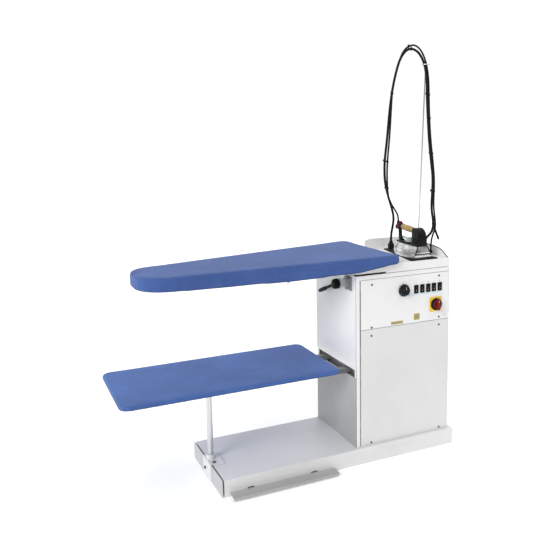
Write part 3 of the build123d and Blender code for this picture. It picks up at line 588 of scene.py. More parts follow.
def islands(node):
    """The separate solids of a CAD node, each as a list of points, always in the same order."""
    bm = bmesh.new()
    bm.from_mesh(NODES[node].data)
    bmesh.ops.remove_doubles(bm, verts=bm.verts, dist=1e-6)
    seen, found = set(), []
    for first in bm.verts:
        if first in seen:
            continue
        seen.add(first)
        stack, group = [first], []
        while stack:
            vert = stack.pop()
            group.append(vert.co.copy())
            for edge in vert.link_edges:
                other = edge.other_vert(vert)
                if other not in seen:
                    seen.add(other)
                    stack.append(other)
        found.append(group)
    bm.free()
    return sorted(found, key=lambda g: tuple(round(sum(p[k] for p in g) / len(g), 4) for k in range(3)))


def corners(points):
    """The low and the high corner of the box round some points."""
    low = Vector([min(p[k] for p in points) for k in range(3)])
    high = Vector([max(p[k] for p in points) for k in range(3)])
    return low, high


# ---- cords ----
def route_curve(name, route, radius):
    """A cord's line as a smooth NURBS curve over its route."""
    data = bpy.data.curves.new(name, "CURVE")
    data.dimensions = "3D"
    data.resolution_u = 10
    spline = data.splines.new("NURBS")
    spline.points.add(len(route) - 1)
    for point, place in zip(spline.points, route):
        point.co = (*cab(*place), 1)
    spline.order_u = 3
    spline.use_endpoint_u = True
    data.bevel_depth = radius
    data.bevel_resolution = 5
    data.use_fill_caps = True
    curve = bpy.data.objects.new(name, data)
    bpy.context.scene.collection.objects.link(curve)
    return curve


def centreline(route):
    """The points that a route's curve passes through."""
    curve = route_curve("line", route, 0)
    curve.data.use_fill_caps = False
    mesh = bpy.data.meshes.new_from_object(curve.evaluated_get(bpy.context.evaluated_depsgraph_get()))
    points = [v.co.copy() for v in mesh.vertices]
    bpy.data.objects.remove(curve)
    return points


def make_main_cord(name, route, radius, look, node):
    """The long stretch of a cord, which is tied to the rod."""
    curve = route_curve(name, route, radius)
    curve.data.materials.append(LOOKS[look])
    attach(curve, "root")
    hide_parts(node)


def make_tail(name, route, radius, look, node):
    """The last stretch of a cord between the rod and the iron, as one fixed tube."""
    path = centreline(route)
    tail = Shape().tube(path, radius, 16).piece(name, look, None, slot="black_rubber")
    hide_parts(node)
    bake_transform(tail)


def crossing(line, centre, normal):
    """Where a line of points passes a plane near its centre."""
    near = [p for p in line if (p - centre).length < 0.06]
    if not near:
        return None
    close = min(near, key=lambda p: abs((p - centre).dot(normal)))
    return close - normal * (close - centre).dot(normal)


def make_bands(lines):
    """Straps that hug the hose and the cable, each with its buckle."""
    shape = Shape()
    width, wall, slack = 0.007, 0.0013, 0.0004
    for points in islands("hose_ties"):
        centre = sum(points, Vector()) / len(points)
        spread = [p - centre for p in points]
        ahead = max(spread, key=lambda p: p.length).normalized()
        other = max(spread, key=lambda p: p.cross(ahead).length)
        normal = ahead.cross(other).normalized()
        aside = normal.cross(ahead)
        hits = []
        for line, radius in lines:
            hit = crossing(line, centre, normal)
            if hit is not None:
                hits.append((hit, radius + slack))
        if not hits:
            continue
        half = normal * width / 2
        rings = [[], [], [], []]
        for i in range(40):
            angle = 2 * math.pi * i / 40
            way = ahead * math.cos(angle) + aside * math.sin(angle)
            hit, radius = max(hits, key=lambda h: h[0].dot(way) + h[1])
            inner, outer = hit + way * radius, hit + way * (radius + wall)
            for ring, point in zip(rings, (inner + half, outer + half, outer - half, inner - half)):
                ring.append(point)
        shape.loft(rings, closed=True)
        hit, radius = max(hits, key=lambda h: h[0].dot(ahead) + h[1])
        buckle = pose_of(hit + ahead * (radius + wall), ahead, normal)
        shape.bar(buckle, (0, 0), (0.0045, 0.0035), (-0.001, 0.0028), 0.0008, 2)
    return shape.piece("hose_bands", "black_plastic", "root", ["hose_ties"])


def make_cords():
    """The steam hose and the iron's cable, tied together along the rod."""
    lines = [
        (centreline(HOSE_ROUTE) + centreline(HOSE_TAIL_ROUTE), HOSE_RADIUS),
        (centreline(CABLE_ROUTE) + centreline(CABLE_TAIL_ROUTE), CABLE_RADIUS),
    ]
    bands = make_bands(lines)
    make_main_cord("hose_main", HOSE_ROUTE, HOSE_RADIUS, "braided", "steam_hose")
    make_main_cord("cable_main", CABLE_ROUTE, CABLE_RADIUS, "black_rubber", "iron_cable")
    make_tail(
        "hose_tail", HOSE_TAIL_ROUTE, HOSE_RADIUS, "braided", "steam_hose_tail",
    )
    make_tail(
        "cable_tail", CABLE_TAIL_ROUTE, CABLE_RADIUS, "black_rubber", "iron_cable_tail",
    )


# ---- padded boards ----
def rounded(points, radii, inset=0.0, steps=12):
    """A convex outline with its corners rounded, moved inwards by inset."""
    sides = [Vector(b) - Vector(a) for a, b in next_round(points)]
    turn_way = math.copysign(1, sides[0].cross(sides[1]))
    lines = []
    for point, side in zip(points, sides):
        along = side.normalized()
        lines.append((Vector(point) + Vector((-along.y, along.x)) * turn_way * inset, along))
    outline = []
    for i, (b, v) in enumerate(lines):
        a, u = lines[i - 1]
        corner = a + u * ((b - a).cross(v) / u.cross(v))
        radius = max(radii[i] - inset, 0.002)
        turn = math.acos(max(-1, min(1, u.dot(v))))
        start = corner - u * (radius * math.tan(turn / 2))
        centre = start + Vector((-u.y, u.x)) * turn_way * radius
        for step in range(steps + 1):
            angle = turn_way * turn * step / steps
            outline.append(centre + Matrix.Rotation(angle, 2) @ (start - centre))
    return outline


def spaced(outline, count):
    """The outline as count points at equal spacing, starting at its first point."""
    loop = outline + outline[:1]
    lengths = [0.0]
    for a, b in zip(loop, loop[1:]):
        lengths.append(lengths[-1] + (b - a).length)
    points = []
    k = 0
    for i in range(count):
        target = lengths[-1] * i / count
        while lengths[k + 1] < target:
            k += 1
        share = (target - lengths[k]) / max(lengths[k + 1] - lengths[k], 1e-9)
        points.append(loop[k].lerp(loop[k + 1], share))
    return points


def simulate(piece, voxel, cap, frozen):
    """Remeshes a pad, lets air pressure fill its cloth, and limits how far it swells."""
    remesh = piece.modifiers.new("remesh", "REMESH")
    remesh.mode = "VOXEL"
    remesh.voxel_size = voxel
    bake(piece)
    start = [v.co.copy() for v in piece.data.vertices]
    cloth = piece.modifiers.new("cloth", "CLOTH")
    cloth.settings.quality = 4
    cloth.settings.mass = 0.3
    cloth.settings.use_pressure = True
    cloth.settings.uniform_pressure_force = 4
    cloth.settings.effector_weights.gravity = 0
    cloth.point_cache.frame_start = 1
    cloth.point_cache.frame_end = 20
    for number in range(1, 21):
        bpy.context.scene.frame_set(number)
    bake(piece)
    for vert, rest in zip(piece.data.vertices, start):
        limit = 0.0 if frozen(rest) else cap
        move = vert.co - rest
        if move.length > limit:
            vert.co = rest + move.normalized() * limit
    bpy.context.scene.frame_set(1)


def bake(piece):
    """Applies a piece's modifiers to its mesh."""
    graph = bpy.context.evaluated_depsgraph_get()
    mesh = bpy.data.meshes.new_from_object(piece.evaluated_get(graph))
    piece.modifiers.clear()
    old = piece.data
    piece.data = mesh
    bpy.data.meshes.remove(old)


def smooth(piece):
    """Relaxes a pad's mesh and divides it once."""
    relax = piece.modifiers.new("relax", "SMOOTH")
    relax.factor = 0.5
    relax.iterations = 3
    divide = piece.modifiers.new("divide", "SUBSURF")
    divide.levels = 1
    bake(piece)
    for polygon in piece.data.polygons:
        polygon.use_smooth = True


def pad_rings(outline_at, profile, lower=None):
    """Rings of a pad: profile is inset and height, where no height means that of the lower rim."""
    rings = []
    for inset, height in profile:
        rings.append([cab(x, y, lower(x, y) if height is None else height) for x, y in outline_at(inset)])
    return rings


def board_lower(x, y):
    """The lower rim of the upper board's cover: shallow at the tip and over the cabinet."""
    heights = [(-0.89, 0.849), (-0.3, 0.838), (0.0, 0.842), (0.18, 0.863), (0.23, OVER_CABINET_Z)]
    z = heights[0][1]
    for (x0, z0), (x1, z1) in zip(heights, heights[1:]):
        if x > x0:
            z = z0 + (z1 - z0) * min((x - x0) / (x1 - x0), 1)
    over = 1
    for distance, ease in ((x - 0.125, 0.02), (y + 0.024, 0.01), (0.405 - y, 0.01)):
        over *= min(max(distance / ease, 0), 1)
    return z + max(OVER_CABINET_Z - z, 0) * over


def near_rim(x, y, points, distance):
    """Whether a place is within a distance of the outline's straight sides or beyond them."""
    for a, b in next_round(points):
        along = (Vector(b) - Vector(a)).normalized()
        inward = Vector((along.y, -along.x))
        if (Vector((x, y)) - Vector(a)).dot(inward) < distance:
            return True
    return False


def arc_profile(inset, top, radius):
    """The rounded shoulder from a side to a top."""
    profile = []
    for step in range(5):
        angle = math.pi / 8 * step
        profile.append((inset + radius * (1 - math.cos(angle)), top - radius * (1 - math.sin(angle))))
    return profile


def surface_of(pad):
    """A pad's surface, to find the nearest point on it."""
    return BVHTree.FromObject(pad, bpy.context.evaluated_depsgraph_get())


def stitches(name, pad, outline, z, body):
    """A row of stitches that lies on a pad, along an outline."""
    pitch, length = 0.0062, 0.0035
    surface = surface_of(pad)
    around = sum((b - a).length for a, b in next_round(outline))
    shape = Shape()
    for here, after in next_round(spaced(outline, int(around / pitch))):
        along = (after - here).normalized()
        ends = []
        for share in (-0.5, 0, 0.5):
            spot = here + along * (share * length)
            hit, normal, _, _ = surface.find_nearest(cab(spot.x, spot.y, z))
            ends.append(hit + normal * (0.0001 if share else 0.0004))
        shape.tube(ends, [0.0002, 0.00042, 0.0002], 6)
    shape.piece(name, "blue_thread", body, slot="blue_fabric")


def make_board_pad():
    """The upper board's cover, which hugs the suction chamber from above and from its sides."""
    def outline_at(inset):
        return spaced(rounded(BOARD_POINTS, BOARD_RADII, inset), 420)

    def held(place):
        """Whether a point rests on the chamber or faces it."""
        x, y, z = place - CORNER
        return z < CHAMBER_TOP_Z + 0.001 and not near_rim(x, y, BOARD_POINTS, 0.0065)

    inset = 0.0012
    profile = [(BOARD_WALL, CHAMBER_TOP_Z - 0.001), (BOARD_WALL, None), (inset, None)]
    profile += arc_profile(inset, BOARD_TOP_Z - 0.0016, 0.011)
    pad = Shape().loft(pad_rings(outline_at, profile, board_lower))
    pad = pad.piece("board_pad", "blue_fabric", None)
    simulate(pad, 0.006, 0.0026, held)
    settle_rim(pad)
    ripple_side(pad)
    smooth(pad)
    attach(pad, "upper_board")
    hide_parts("board_cover")
    stitches("board_seam", pad, outline_at(0.004), BOARD_TOP_Z, "upper_board")
    make_piping("board_piping", pad, outline_at(0.0004), board_lower, "upper_board")
    make_hem()
    make_drawcord()


def settle_rim(pad):
    """Draws the lowest points of the remeshed cover onto its rim, so that the rim is one clean line."""
    reach = 0.0045
    for vert in pad.data.vertices:
        x, y, z = vert.co - CORNER
        height = z - board_lower(x, y)
        if height < 2 * reach:
            vert.co.z += 2 * max(0.0, height - reach) - height


def ripple_side(pad):
    """Faint gathers on the cover's long sides, which fade out 30 mm over its rim."""
    for vert in pad.data.vertices:
        x, y, z = vert.co - CORNER
        height = z - max(BOARD_EDGE_Z, board_lower(x, y))
        if height < 0.03 and near_rim(x, y, BOARD_POINTS, 0.005):
            pull = (1 - height / 0.03) ** 2
            ripple = math.sin(x * 190 + 1.3 * math.sin(x * 41)) + 0.6 * math.sin(y * 230 + x * 31)
            side = 1 if y > BOARD_MIDDLE_Y else -1
            vert.co.y += side * 0.00045 * pull * ripple


def make_piping(name, pad, outline, lower, body):
    """A dark cord sewn along a pad's lower rim."""
    surface = surface_of(pad)
    points = []
    for spot in outline:
        hit, normal, _, _ = surface.find_nearest(cab(spot.x, spot.y, lower(spot.x, spot.y) - 0.002))
        points.append(hit + normal * 0.0003)
    for _ in range(4):
        middles = [(a + b) / 2 for a, b in next_round(points)]
        points = [(a + b) / 2 for a, b in zip(middles[-1:] + middles, middles)]
    Shape().tube(points, 0.0012, 8, closed=True).piece(name, "blue_piping", body, slot="blue_fabric")


def make_hem():
    """The part of the cover that is gathered under the suction box, outside the cabinet."""
    width, steps, cloth = 0.036, 6, 0.0011
    rim = 0.004
    outer, inner = [spaced(rounded(BOARD_POINTS, BOARD_RADII, at), 900) for at in (rim, rim + width)]
    outside = [p.x < -0.025 for p in outer]
    start = next(k for k in range(900) if outside[k] and not outside[k - 1])
    pairs = [(outer[(start + n) % 900], inner[(start + n) % 900]) for n in range(sum(outside))]
    rings = []
    for n, (a, b) in enumerate(pairs):
        row = []
        for step in range(steps + 1):
            share = step / steps
            spot = a.lerp(b, share)
            gather = 0.0006 * share * math.sin(n * 0.9 + 1.5 * math.sin(n * 0.13))
            z = max(0.8448, board_lower(spot.x, spot.y) + 0.0010) + gather
            row.append(cab(spot.x, spot.y, z))
        rings.append(row + [p + Vector((0, 0, cloth)) for p in row[::-1]])
    hem = Shape().loft(rings).piece("board_hem", "blue_fabric", "upper_board", angle=60)


def make_drawcord():
    """The knotted ends of the cord that gathers the hem."""
    x, y, z = -0.312, -0.018, 0.8375
    loop = []
    for step in range(24):
        angle = 2 * math.pi * step / 24
        loop.append(cab(
            x + 0.0035 * math.cos(angle), y + 0.0012 * math.sin(2 * angle), z + 0.002 * math.sin(angle)
        ))
    shape = Shape().tube(loop, 0.0011, 8, closed=True)
    for way in (-1, 1):
        end = [cab(x + way * 0.0015 * s, y - 0.0008 * s, z - 0.0012 * s) for s in range(6)]
        shape.tube(end, [0.0011] * 5 + [0.0014], 8)
    shape.piece("board_drawcord", "blue_thread", "upper_board", slot="blue_fabric")


def make_shelf_pad():
    """The lower board's cover, pulled over the edge of its core."""
    def outline_at(inset):
        return spaced(rounded(SHELF_POINTS, SHELF_RADII, inset), 360)

    inset = 0.001
    profile = [(0.004, SHELF_EDGE_Z - 0.0032), (inset, SHELF_EDGE_Z)]
    profile += arc_profile(inset, SHELF_TOP_Z - 0.0008, 0.0055)
    pad = Shape().loft(pad_rings(outline_at, profile))
    # The lower cover takes the lighter copy of the blue cotton, which is painted light.
    pad = pad.piece("shelf_pad", "painted_light_fabric", None, slot="blue_fabric")
    simulate(pad, 0.006, 0.0018, lambda place: place.z < SHELF_EDGE_Z - 0.001)
    smooth(pad)
    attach(pad, "root")
    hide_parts("lower_board_cover")
    stitches("shelf_seam", pad, outline_at(0.002), SHELF_EDGE_Z + 0.005, "root")
    make_piping("shelf_piping", pad, outline_at(0.0004), lambda x, y: SHELF_EDGE_Z, "root")
    make_staples()


def make_staples():
    """Staples that hold the lower cover to the edge of its board, from below."""
    shape = Shape()
    top, crown = 0.4050, 0.4030
    for here, after in next_round(spaced(rounded(SHELF_POINTS, SHELF_RADII, 0.011), 52)):
        along = (after - here).normalized() * 0.005
        ends = ((here - along, top), (here - along, crown), (here + along, crown), (here + along, top))
        shape.tube([cab(p.x, p.y, z) for p, z in ends], 0.0005, 6)
    shape.piece("shelf_staples", "nickel", "root", slot="zinc_steel")


# ---- iron ----
def iron_at(x, y, z):
    """A point measured from the iron's middle plane."""
    return cab(IRON_X + x, y, z)


def iron_outline(heel, widest, length, z, start):
    """The iron's plan at one height: a straight heel, bowed sides and a pointed nose."""
    steps, bow = 26, 0.32
    right = []
    for step in range(steps + 1):
        t = (step / steps) ** 0.85
        if t < bow:
            half = heel + (widest - heel) * math.sin(math.pi / 2 * t / bow)
        else:
            half = widest * max(0.0, 1 - ((t - bow) / (1 - bow)) ** 2.1) ** 0.9
        right.append((half, HEEL_Y + start + t * length))
    left = [(-x, y) for x, y in right[::-1]]
    points = right[:-1] + [(0.0006, right[-1][1]), (-0.0006, right[-1][1])] + left[1:]
    return [iron_at(x, y, z) for x, y in points]


def make_iron_shell():
    """The iron's bright body, and the rubber guards on the corners of its heel."""
    rings = []
    for z, heel, widest, length, start in (
        (0.8774, 0.0340, 0.0445, 0.214, 0.0044), (0.8792, 0.0345, 0.0452, 0.215, 0.0040),
        (0.8865, 0.0390, 0.0515, 0.223, 0.0004), (0.8885, 0.0398, 0.0524, 0.225, 0.0000),
        (0.8910, 0.0390, 0.0512, 0.222, 0.0004), (0.8990, 0.0345, 0.0452, 0.211, 0.0012),
        (0.9080, 0.0295, 0.0390, 0.201, 0.0022), (0.9145, 0.0262, 0.0345, 0.193, 0.0030),
        (0.9170, 0.0245, 0.0325, 0.189, 0.0042), (0.9180, 0.0225, 0.0300, 0.184, 0.0060),
    ):
        rings.append(iron_outline(heel, widest, length, z, start))
    shape = Shape().loft(rings)
    shape.piece("iron_shell", "polished_aluminium", "iron", ["iron_body"], angle=30)
    trim = Shape()
    for way in (-1, 1):
        guard = [iron_at(way * x, HEEL_Y + y, z) for x, y, z in (
            (0.0405, 0.0016, 0.8790), (0.0365, 0.0012, 0.8905),
            (0.0300, 0.0022, 0.9060), (0.0250, 0.0050, 0.9180),
        )]
        trim.tube(guard, 0.0024, 10)
    trim.piece("heel_guard", "black_rubber", "iron")


def make_iron_frame():
    """The black saddle on the body, the front arm and the rear housing that carry the handle."""
    saddle = Shape().block(iron_at(-0.016, 0.078, 0.9176), iron_at(0.016, 0.222, 0.9262), 0.0025)
    arm = [iron_at(0, y, z) for y, z in (
        (0.196, 0.9235), (0.208, 0.929), (0.2135, 0.942), (0.2145, 0.957), (0.2165, 0.975), (0.218, 0.986),
    )]
    saddle.tube(arm, [0.0105, 0.0100, 0.0088, 0.0080, 0.0084, 0.0095], 20, flat=0.85)
    for y in (0.096, 0.188):
        saddle.revolve(pose_of(iron_at(0, y, 0.926)), [(0.0038, 0), (0.0038, 0.0012), (0.003, 0.002)], 20)
    saddle.piece("iron_saddle", "black_plastic", "iron", ["iron_front_post"])

    side = [
        (0.086, 0.9178), (0.0862, 0.994), (0.078, 0.9958), (0.066, 0.9935), (0.055, 0.987),
        (0.045, 0.976), (0.0385, 0.961), (0.0350, 0.942), (0.0345, 0.9178),
    ]
    middle = (0.0605, 0.955)
    rings = []
    for x, inset in (
        (-0.026, 0.006), (-0.0252, 0.0032), (-0.0232, 0.0012), (-0.020, 0.0), (0.020, 0.0),
        (0.0232, 0.0012), (0.0252, 0.0032), (0.026, 0.006),
    ):
        across, upward = 1 - inset / 0.026, 1 - inset / 0.039
        rings.append([
            iron_at(x, middle[0] + (y - middle[0]) * across, middle[1] + (z - middle[1]) * upward)
            for y, z in side
        ])
    rear = Shape().loft(rings)
    rear.block(iron_at(-0.0285, 0.036, 0.9176), iron_at(0.0285, 0.088, 0.9255), 0.003)
    for z in (0.935, 0.968):
        screw = pose_of(iron_at(0.0255, 0.066, z), (1, 0, 0))
        rear.revolve(screw, [(0.0032, 0), (0.0032, 0.001), (0.0024, 0.0018)], 20)
    rear.piece("iron_rear", "black_plastic", "iron", ["iron_housing"], angle=50)


def make_iron_grip():
    """The cork handle, with a cap at each end."""
    rear, front = iron_at(0, 0.0868, 0.980), iron_at(0, 0.1968, 0.989)
    pose = pose_of(rear, front - rear)
    length = (front - rear).length
    grip = []
    for step in range(15):
        share = step / 14
        swell = math.sin(math.pi * share) ** 0.6
        grip.append((0.0118 + 0.0022 * swell, 0.004 + share * (length - 0.008)))
    Shape().revolve(pose, grip, 40).piece("iron_grip", "cork", "iron", ["iron_handle"], angle=50)
    caps = Shape()
    for height in (0.0, length - 0.0045):
        caps.revolve(pose, [
            (0.0124, height), (0.0136, height + 0.0008), (0.0138, height + 0.0022), (0.0132, height + 0.0042),
        ], 40)
    caps.piece("iron_grip_caps", "black_plastic", "iron")


def make_iron_head():
    """The head at the front of the handle, with a collar for the cable and a well for the steam button."""
    head = Shape().block(iron_at(-0.0148, 0.1996, 0.9745), iron_at(0.0148, 0.2408, 0.9960), 0.0085, 6)
    start, end = iron_at(0, 0.2320, 1.0020), iron_at(0, 0.2326, 1.0120)
    head.revolve(pose_of(start, end - start), [
        (0.0082, -0.012), (0.0082, -0.001), (0.0072, 0.001), (0.0066, 0.002), (0.0066, 0.0045),
        (0.0072, 0.005), (0.0072, 0.0065), (0.0062, 0.0072), (0.0062, 0.0084), (0.0058, 0.0096),
        (0.0045, 0.0100),
    ], 28)
    head.revolve(pose_of(iron_at(0, 0.212, 0.9965)), [
        (0.0098, -0.0060), (0.0100, 0.0040), (0.0096, 0.0078), (0.0088, 0.0088), (0.0080, 0.0088),
        (0.0075, 0.0080), (0.0075, 0.0002),
    ], 36)
    head.piece("iron_switch_head", "maroon_plastic", "iron", ["iron_head"], angle=45)
    low, high, middle = node_box("steam_button")
    radius = (high.x - low.x) / 2
    button = Shape().revolve(pose_of((middle.x, middle.y, low.z)), [
        (radius - 0.0004, 0), (radius - 0.0004, 0.0085), (radius - 0.001, 0.0100),
        (radius - 0.0025, 0.0108), (0.0015, 0.0104),
    ], 36)
    button.piece("iron_button", "red_plastic", "steam_button", ["steam_button"], slot="black_plastic")


def make_iron_dial():
    """The fluted temperature dial, which stands on the saddle."""
    low, high, middle = node_box("iron_dial")
    saddle_z = 0.925
    radius = (high.x - low.x) / 2
    height = high.z - saddle_z
    base = pose_of((middle.x, middle.y, saddle_z))
    dial = Shape().revolve(base, [
        (radius - 0.0008, 0), (radius, 0.001), (radius, 0.002), (radius - 0.0003, 0.003, 1),
        (radius - 0.0005, height - 0.004, 1), (radius - 0.0018, height - 0.002),
        (radius - 0.0045, height - 0.0012), (radius - 0.006, height - 0.0022), (0.002, height - 0.0022),
    ], 144, 24, 0.0011)
    dial.revolve(pose_of((middle.x, middle.y, low.z)), [(0.005, 0), (0.005, 0.008)], 24)
    dial.piece("temperature_dial", "grey_plastic", "iron_dial", ["iron_dial"])
    mark = Shape().bar(base, (0, 0.00625), (0.0006, 0.00325), (height - 0.0023, height - 0.0012), 0.0002)
    mark.piece("dial_mark", "white_ink", "iron_dial", slot="grey_plastic")


def make_iron_boot():
    """The ribbed rubber boot round the hose where it enters the iron."""
    end = Vector(HOSE_TAIL_ROUTE[-1])
    way = (end - Vector(HOSE_TAIL_ROUTE[-2])).normalized()
    pose = pose_of(cab(*(end + way * 0.024)), -way)
    profile = [(0.0115, -0.004), (0.0115, 0.002)]
    for rib in range(6):
        at = 0.003 + rib * 0.0034
        radius = 0.0104 - 0.00062 * rib
        groove = radius - 0.0013
        profile += [(radius, at), (radius, at + 0.0019), (groove, at + 0.0022), (groove, at + 0.0030)]
    profile.append((0.0066, 0.0236))
    boot = Shape().revolve(pose, profile, 32)
    boot.piece("hose_boot", "black_rubber", "iron", ["iron_boot"], angle=30)


def make_hose_guide():
    """The short rubber arm that steers the hose away from the rod, just above the iron."""
    points = [
        cab(0.4655, 0.1195, 1.006), cab(0.4690, 0.1175, 0.990), cab(0.4760, 0.1172, 0.972),
        cab(0.4850, 0.1176, 0.954), cab(0.4930, 0.1180, 0.938), cab(0.4965, 0.1181, 0.929),
    ]
    shape = Shape().tube(points, [0.0062, 0.0066, 0.0052, 0.0048, 0.0052, 0.0044], 16)
    shape.piece("hose_guide", "black_rubber", "iron")


def make_rest():
    """The silicone mat of the iron rest, with a raised lip and ribs under the iron."""
    front, back = 0.005, 0.346
    mat = [(0.272, front), (0.424, front), (0.360, back), (0.340, back)]
    radii = [0.008, 0.016, 0.008, 0.008]
    points = [(p.x + CORNER.x, p.y + CORNER.y) for p in rounded(mat, radii)]
    shape = Shape().slab(points, COVER_Z + 0.0001, COVER_Z + 0.0036, 0.0012)
    lip = [cab(p.x, p.y, COVER_Z + 0.0030) for p in spaced(rounded(mat, radii, 0.0022), 220)]
    shape.tube(lip, 0.0010, 8, closed=True)
    for row in range(24):
        y = 0.016 + row * 0.0125
        share = (y - front) / (back - front)
        left, right = 0.281 + share * 0.068, 0.415 - share * 0.064
        if right - left > 0.012:
            start, end = cab(left, y - 0.0018, COVER_Z + 0.003), cab(right, y + 0.0018, COVER_Z + 0.0040)
            shape.block(start, end, 0.0004, 1)
    shape.piece("rest_mat", "silicone", "root", ["iron_rest_mat"])


def make_outlets():
    """The block that the steam hose leaves from, and the iron cable's gland."""
    low, high, middle = node_box("steam_outlet")
    shape = Shape().block(low, (high.x, high.y, low.z + 0.0265), 0.004, 4)
    shape.revolve(pose_of((middle.x, middle.y, low.z + 0.025)), [
        (0.0102, 0), (0.0102, 0.004), (0.0090, 0.0046), (0.0090, 0.0060), (0.0096, 0.0064, 1),
        (0.0096, 0.0112, 1), (0.0088, 0.0120), (0.0070, 0.0146),
    ], 96, 12, 0.0009)
    shape.piece("outlet_block", "black_plastic", "root", ["steam_outlet"])

    low, high, middle = node_box("cable_gland")
    base = pose_of((middle.x, middle.y, low.z))
    nut = []
    for side in range(6):
        angle = math.pi / 3 * side
        nut.append((0.0118 * math.cos(angle), 0.0118 * math.sin(angle)))
    gland = Shape().slab(nut, 0.0, 0.007, 0.0009, 2, base)
    gland.piece("gland_nut", "nickel", "root", ["cable_gland"], slot="zinc_steel")
    dome = Shape().revolve(base, [
        (0.0085, 0.006), (0.0085, 0.0085), (0.0080, 0.009, 1), (0.0080, 0.0155, 1), (0.0074, 0.0180),
        (0.0062, 0.0200), (0.0048, 0.0212),
    ], 96, 16, 0.0007)
    dome.piece("gland_dome", "black_rubber", "root", slot="black_plastic")


# ---- controls ----
def panel_pose(x, z):
    """A pose on the front panel whose z axis points towards the user and whose y axis points up."""
    return Matrix.Translation(cab(x, 0, z)) @ Matrix(((1, 0, 0), (0, 0, -1), (0, 1, 0))).to_4x4()


def make_thermostat():
    """The fluted knob with its scale, and its index marks on the panel."""
    pose = panel_pose(*KNOB)
    knob = Shape().revolve(pose, [
        (0.0262, 0.0013), (0.0270, 0.0022), (0.0270, 0.0048), (0.0258, 0.0060), (0.0215, 0.0064),
        (0.0212, 0.0070, 1), (0.0205, 0.0195, 1), (0.0192, 0.0212), (0.0165, 0.0220), (0.0145, 0.0212),
        (0.004, 0.0210),
    ], 180, 20, 0.0010)
    knob.bar(pose, (0, 0), (0.0042, 0.0172), (0.0200, 0.0218), 0.0014, 3)
    knob.piece("thermostat_cap", "black_plastic", "thermostat_knob", ["thermostat_knob"])
    pointer = Shape().bar(pose, (0, 0.0114), (0.0007, 0.0054), (0.0212, 0.02205), 0.0002)
    for step in range(11):
        turned = pose @ Matrix.Rotation(math.radians(-135 + 27 * step), 4, "Z")
        pointer.bar(turned, (0, 0.0245), (0.0004, 0.0013), (0.0054, 0.0064))
    pointer.piece("thermostat_marks", "white_ink", "thermostat_knob", slot="black_plastic")
    index = Shape().bar(pose, (0, 0.03085), (0.0008, 0.00265), PRINT)
    for way in (-1, 1):
        dot = pose @ Matrix.Translation((0.0225 * way, 0.0235, 0))
        index.revolve(dot, [(0.0016, height) for height in PRINT], 20)
    slanted = panel_pose(0.262, 0.7185) @ Matrix.Rotation(math.radians(32), 4, "Z")
    index.bar(slanted, (0, 0), (0.009, 0.0011), PRINT)
    index.piece("thermostat_index", "grey_ink", "root", slot="white_paint")


def make_rockers():
    """Rockers in their frames, a film strip below them and small marks above them."""
    frames, marks = Shape(), Shape()
    for number, x in enumerate(ROCKER_XS):
        pose = panel_pose(x, ROCKER_Z)
        for way in (1, -1):
            frames.bar(pose, (0, way * 0.01655), (0.0112, 0.00205), (0.0, 0.0028), 0.0008, 2)
            frames.bar(pose, (way * 0.0096, 0), (0.0016, 0.0160), (0.0, 0.0028), 0.0008, 2)
            frames.bar(pose, (way * 0.0083, 0), (0.0004, 0.0150), (-0.014, 0.0005), 0)
            frames.bar(pose, (0, way * 0.0146), (0.0084, 0.0004), (-0.014, 0.0005), 0)
        frames.bar(pose, (0, 0), (0.0084, 0.0150), (-0.014, -0.0125), 0)
        for bar in range(number % 3 + 1):
            shift = (bar - (number % 3) / 2) * 0.0024
            marks.bar(panel_pose(x, 0.7655), (shift, 0), (0.0006, 0.0022), PRINT)
    frames.piece("rocker_bezels", "black_plastic", "root", ["rocker_frames"])

    half, tall = 0.0069, 0.0118
    side = [
        (-tall * 0.5, -0.007), (tall * 0.5, -0.007), (tall, 0.0055), (tall - 0.0006, 0.0064),
        (tall * 0.5, 0.0046), (0.0, 0.0034), (-tall * 0.5, 0.0030), (-tall + 0.0006, 0.0031), (-tall, 0.0022),
    ]
    for number, x in enumerate(ROCKER_XS, 1):
        pose = panel_pose(x, ROCKER_Z)
        name = f"rocker_{number}"
        rings = []
        for u, size in ((-half, 0.97), (-half + 0.0005, 1), (half - 0.0005, 1), (half, 0.97)):
            rings.append([pose @ Vector((u, y * size, w * size)) for y, w in side])
        key = Shape().loft(rings)
        key.piece(f"rocker_key_{number}", "black_plastic", name, [name], angle=40)
        mark = Shape().bar(pose, (0, -0.0070), (0.0007, 0.0018), (0.0026, 0.0034))
        mark.piece(f"rocker_line_{number}", "white_ink", name, slot="black_plastic")
    film = Shape().bar(panel_pose(0.318, 0.7155), (0, 0), (0.112, 0.0025), (-0.0001, 0.00025))
    film.piece("film_strip", "pale_blue_ink", "root", slot="white_paint")
    marks.piece("rocker_marks", "grey_ink", "root", slot="white_paint")


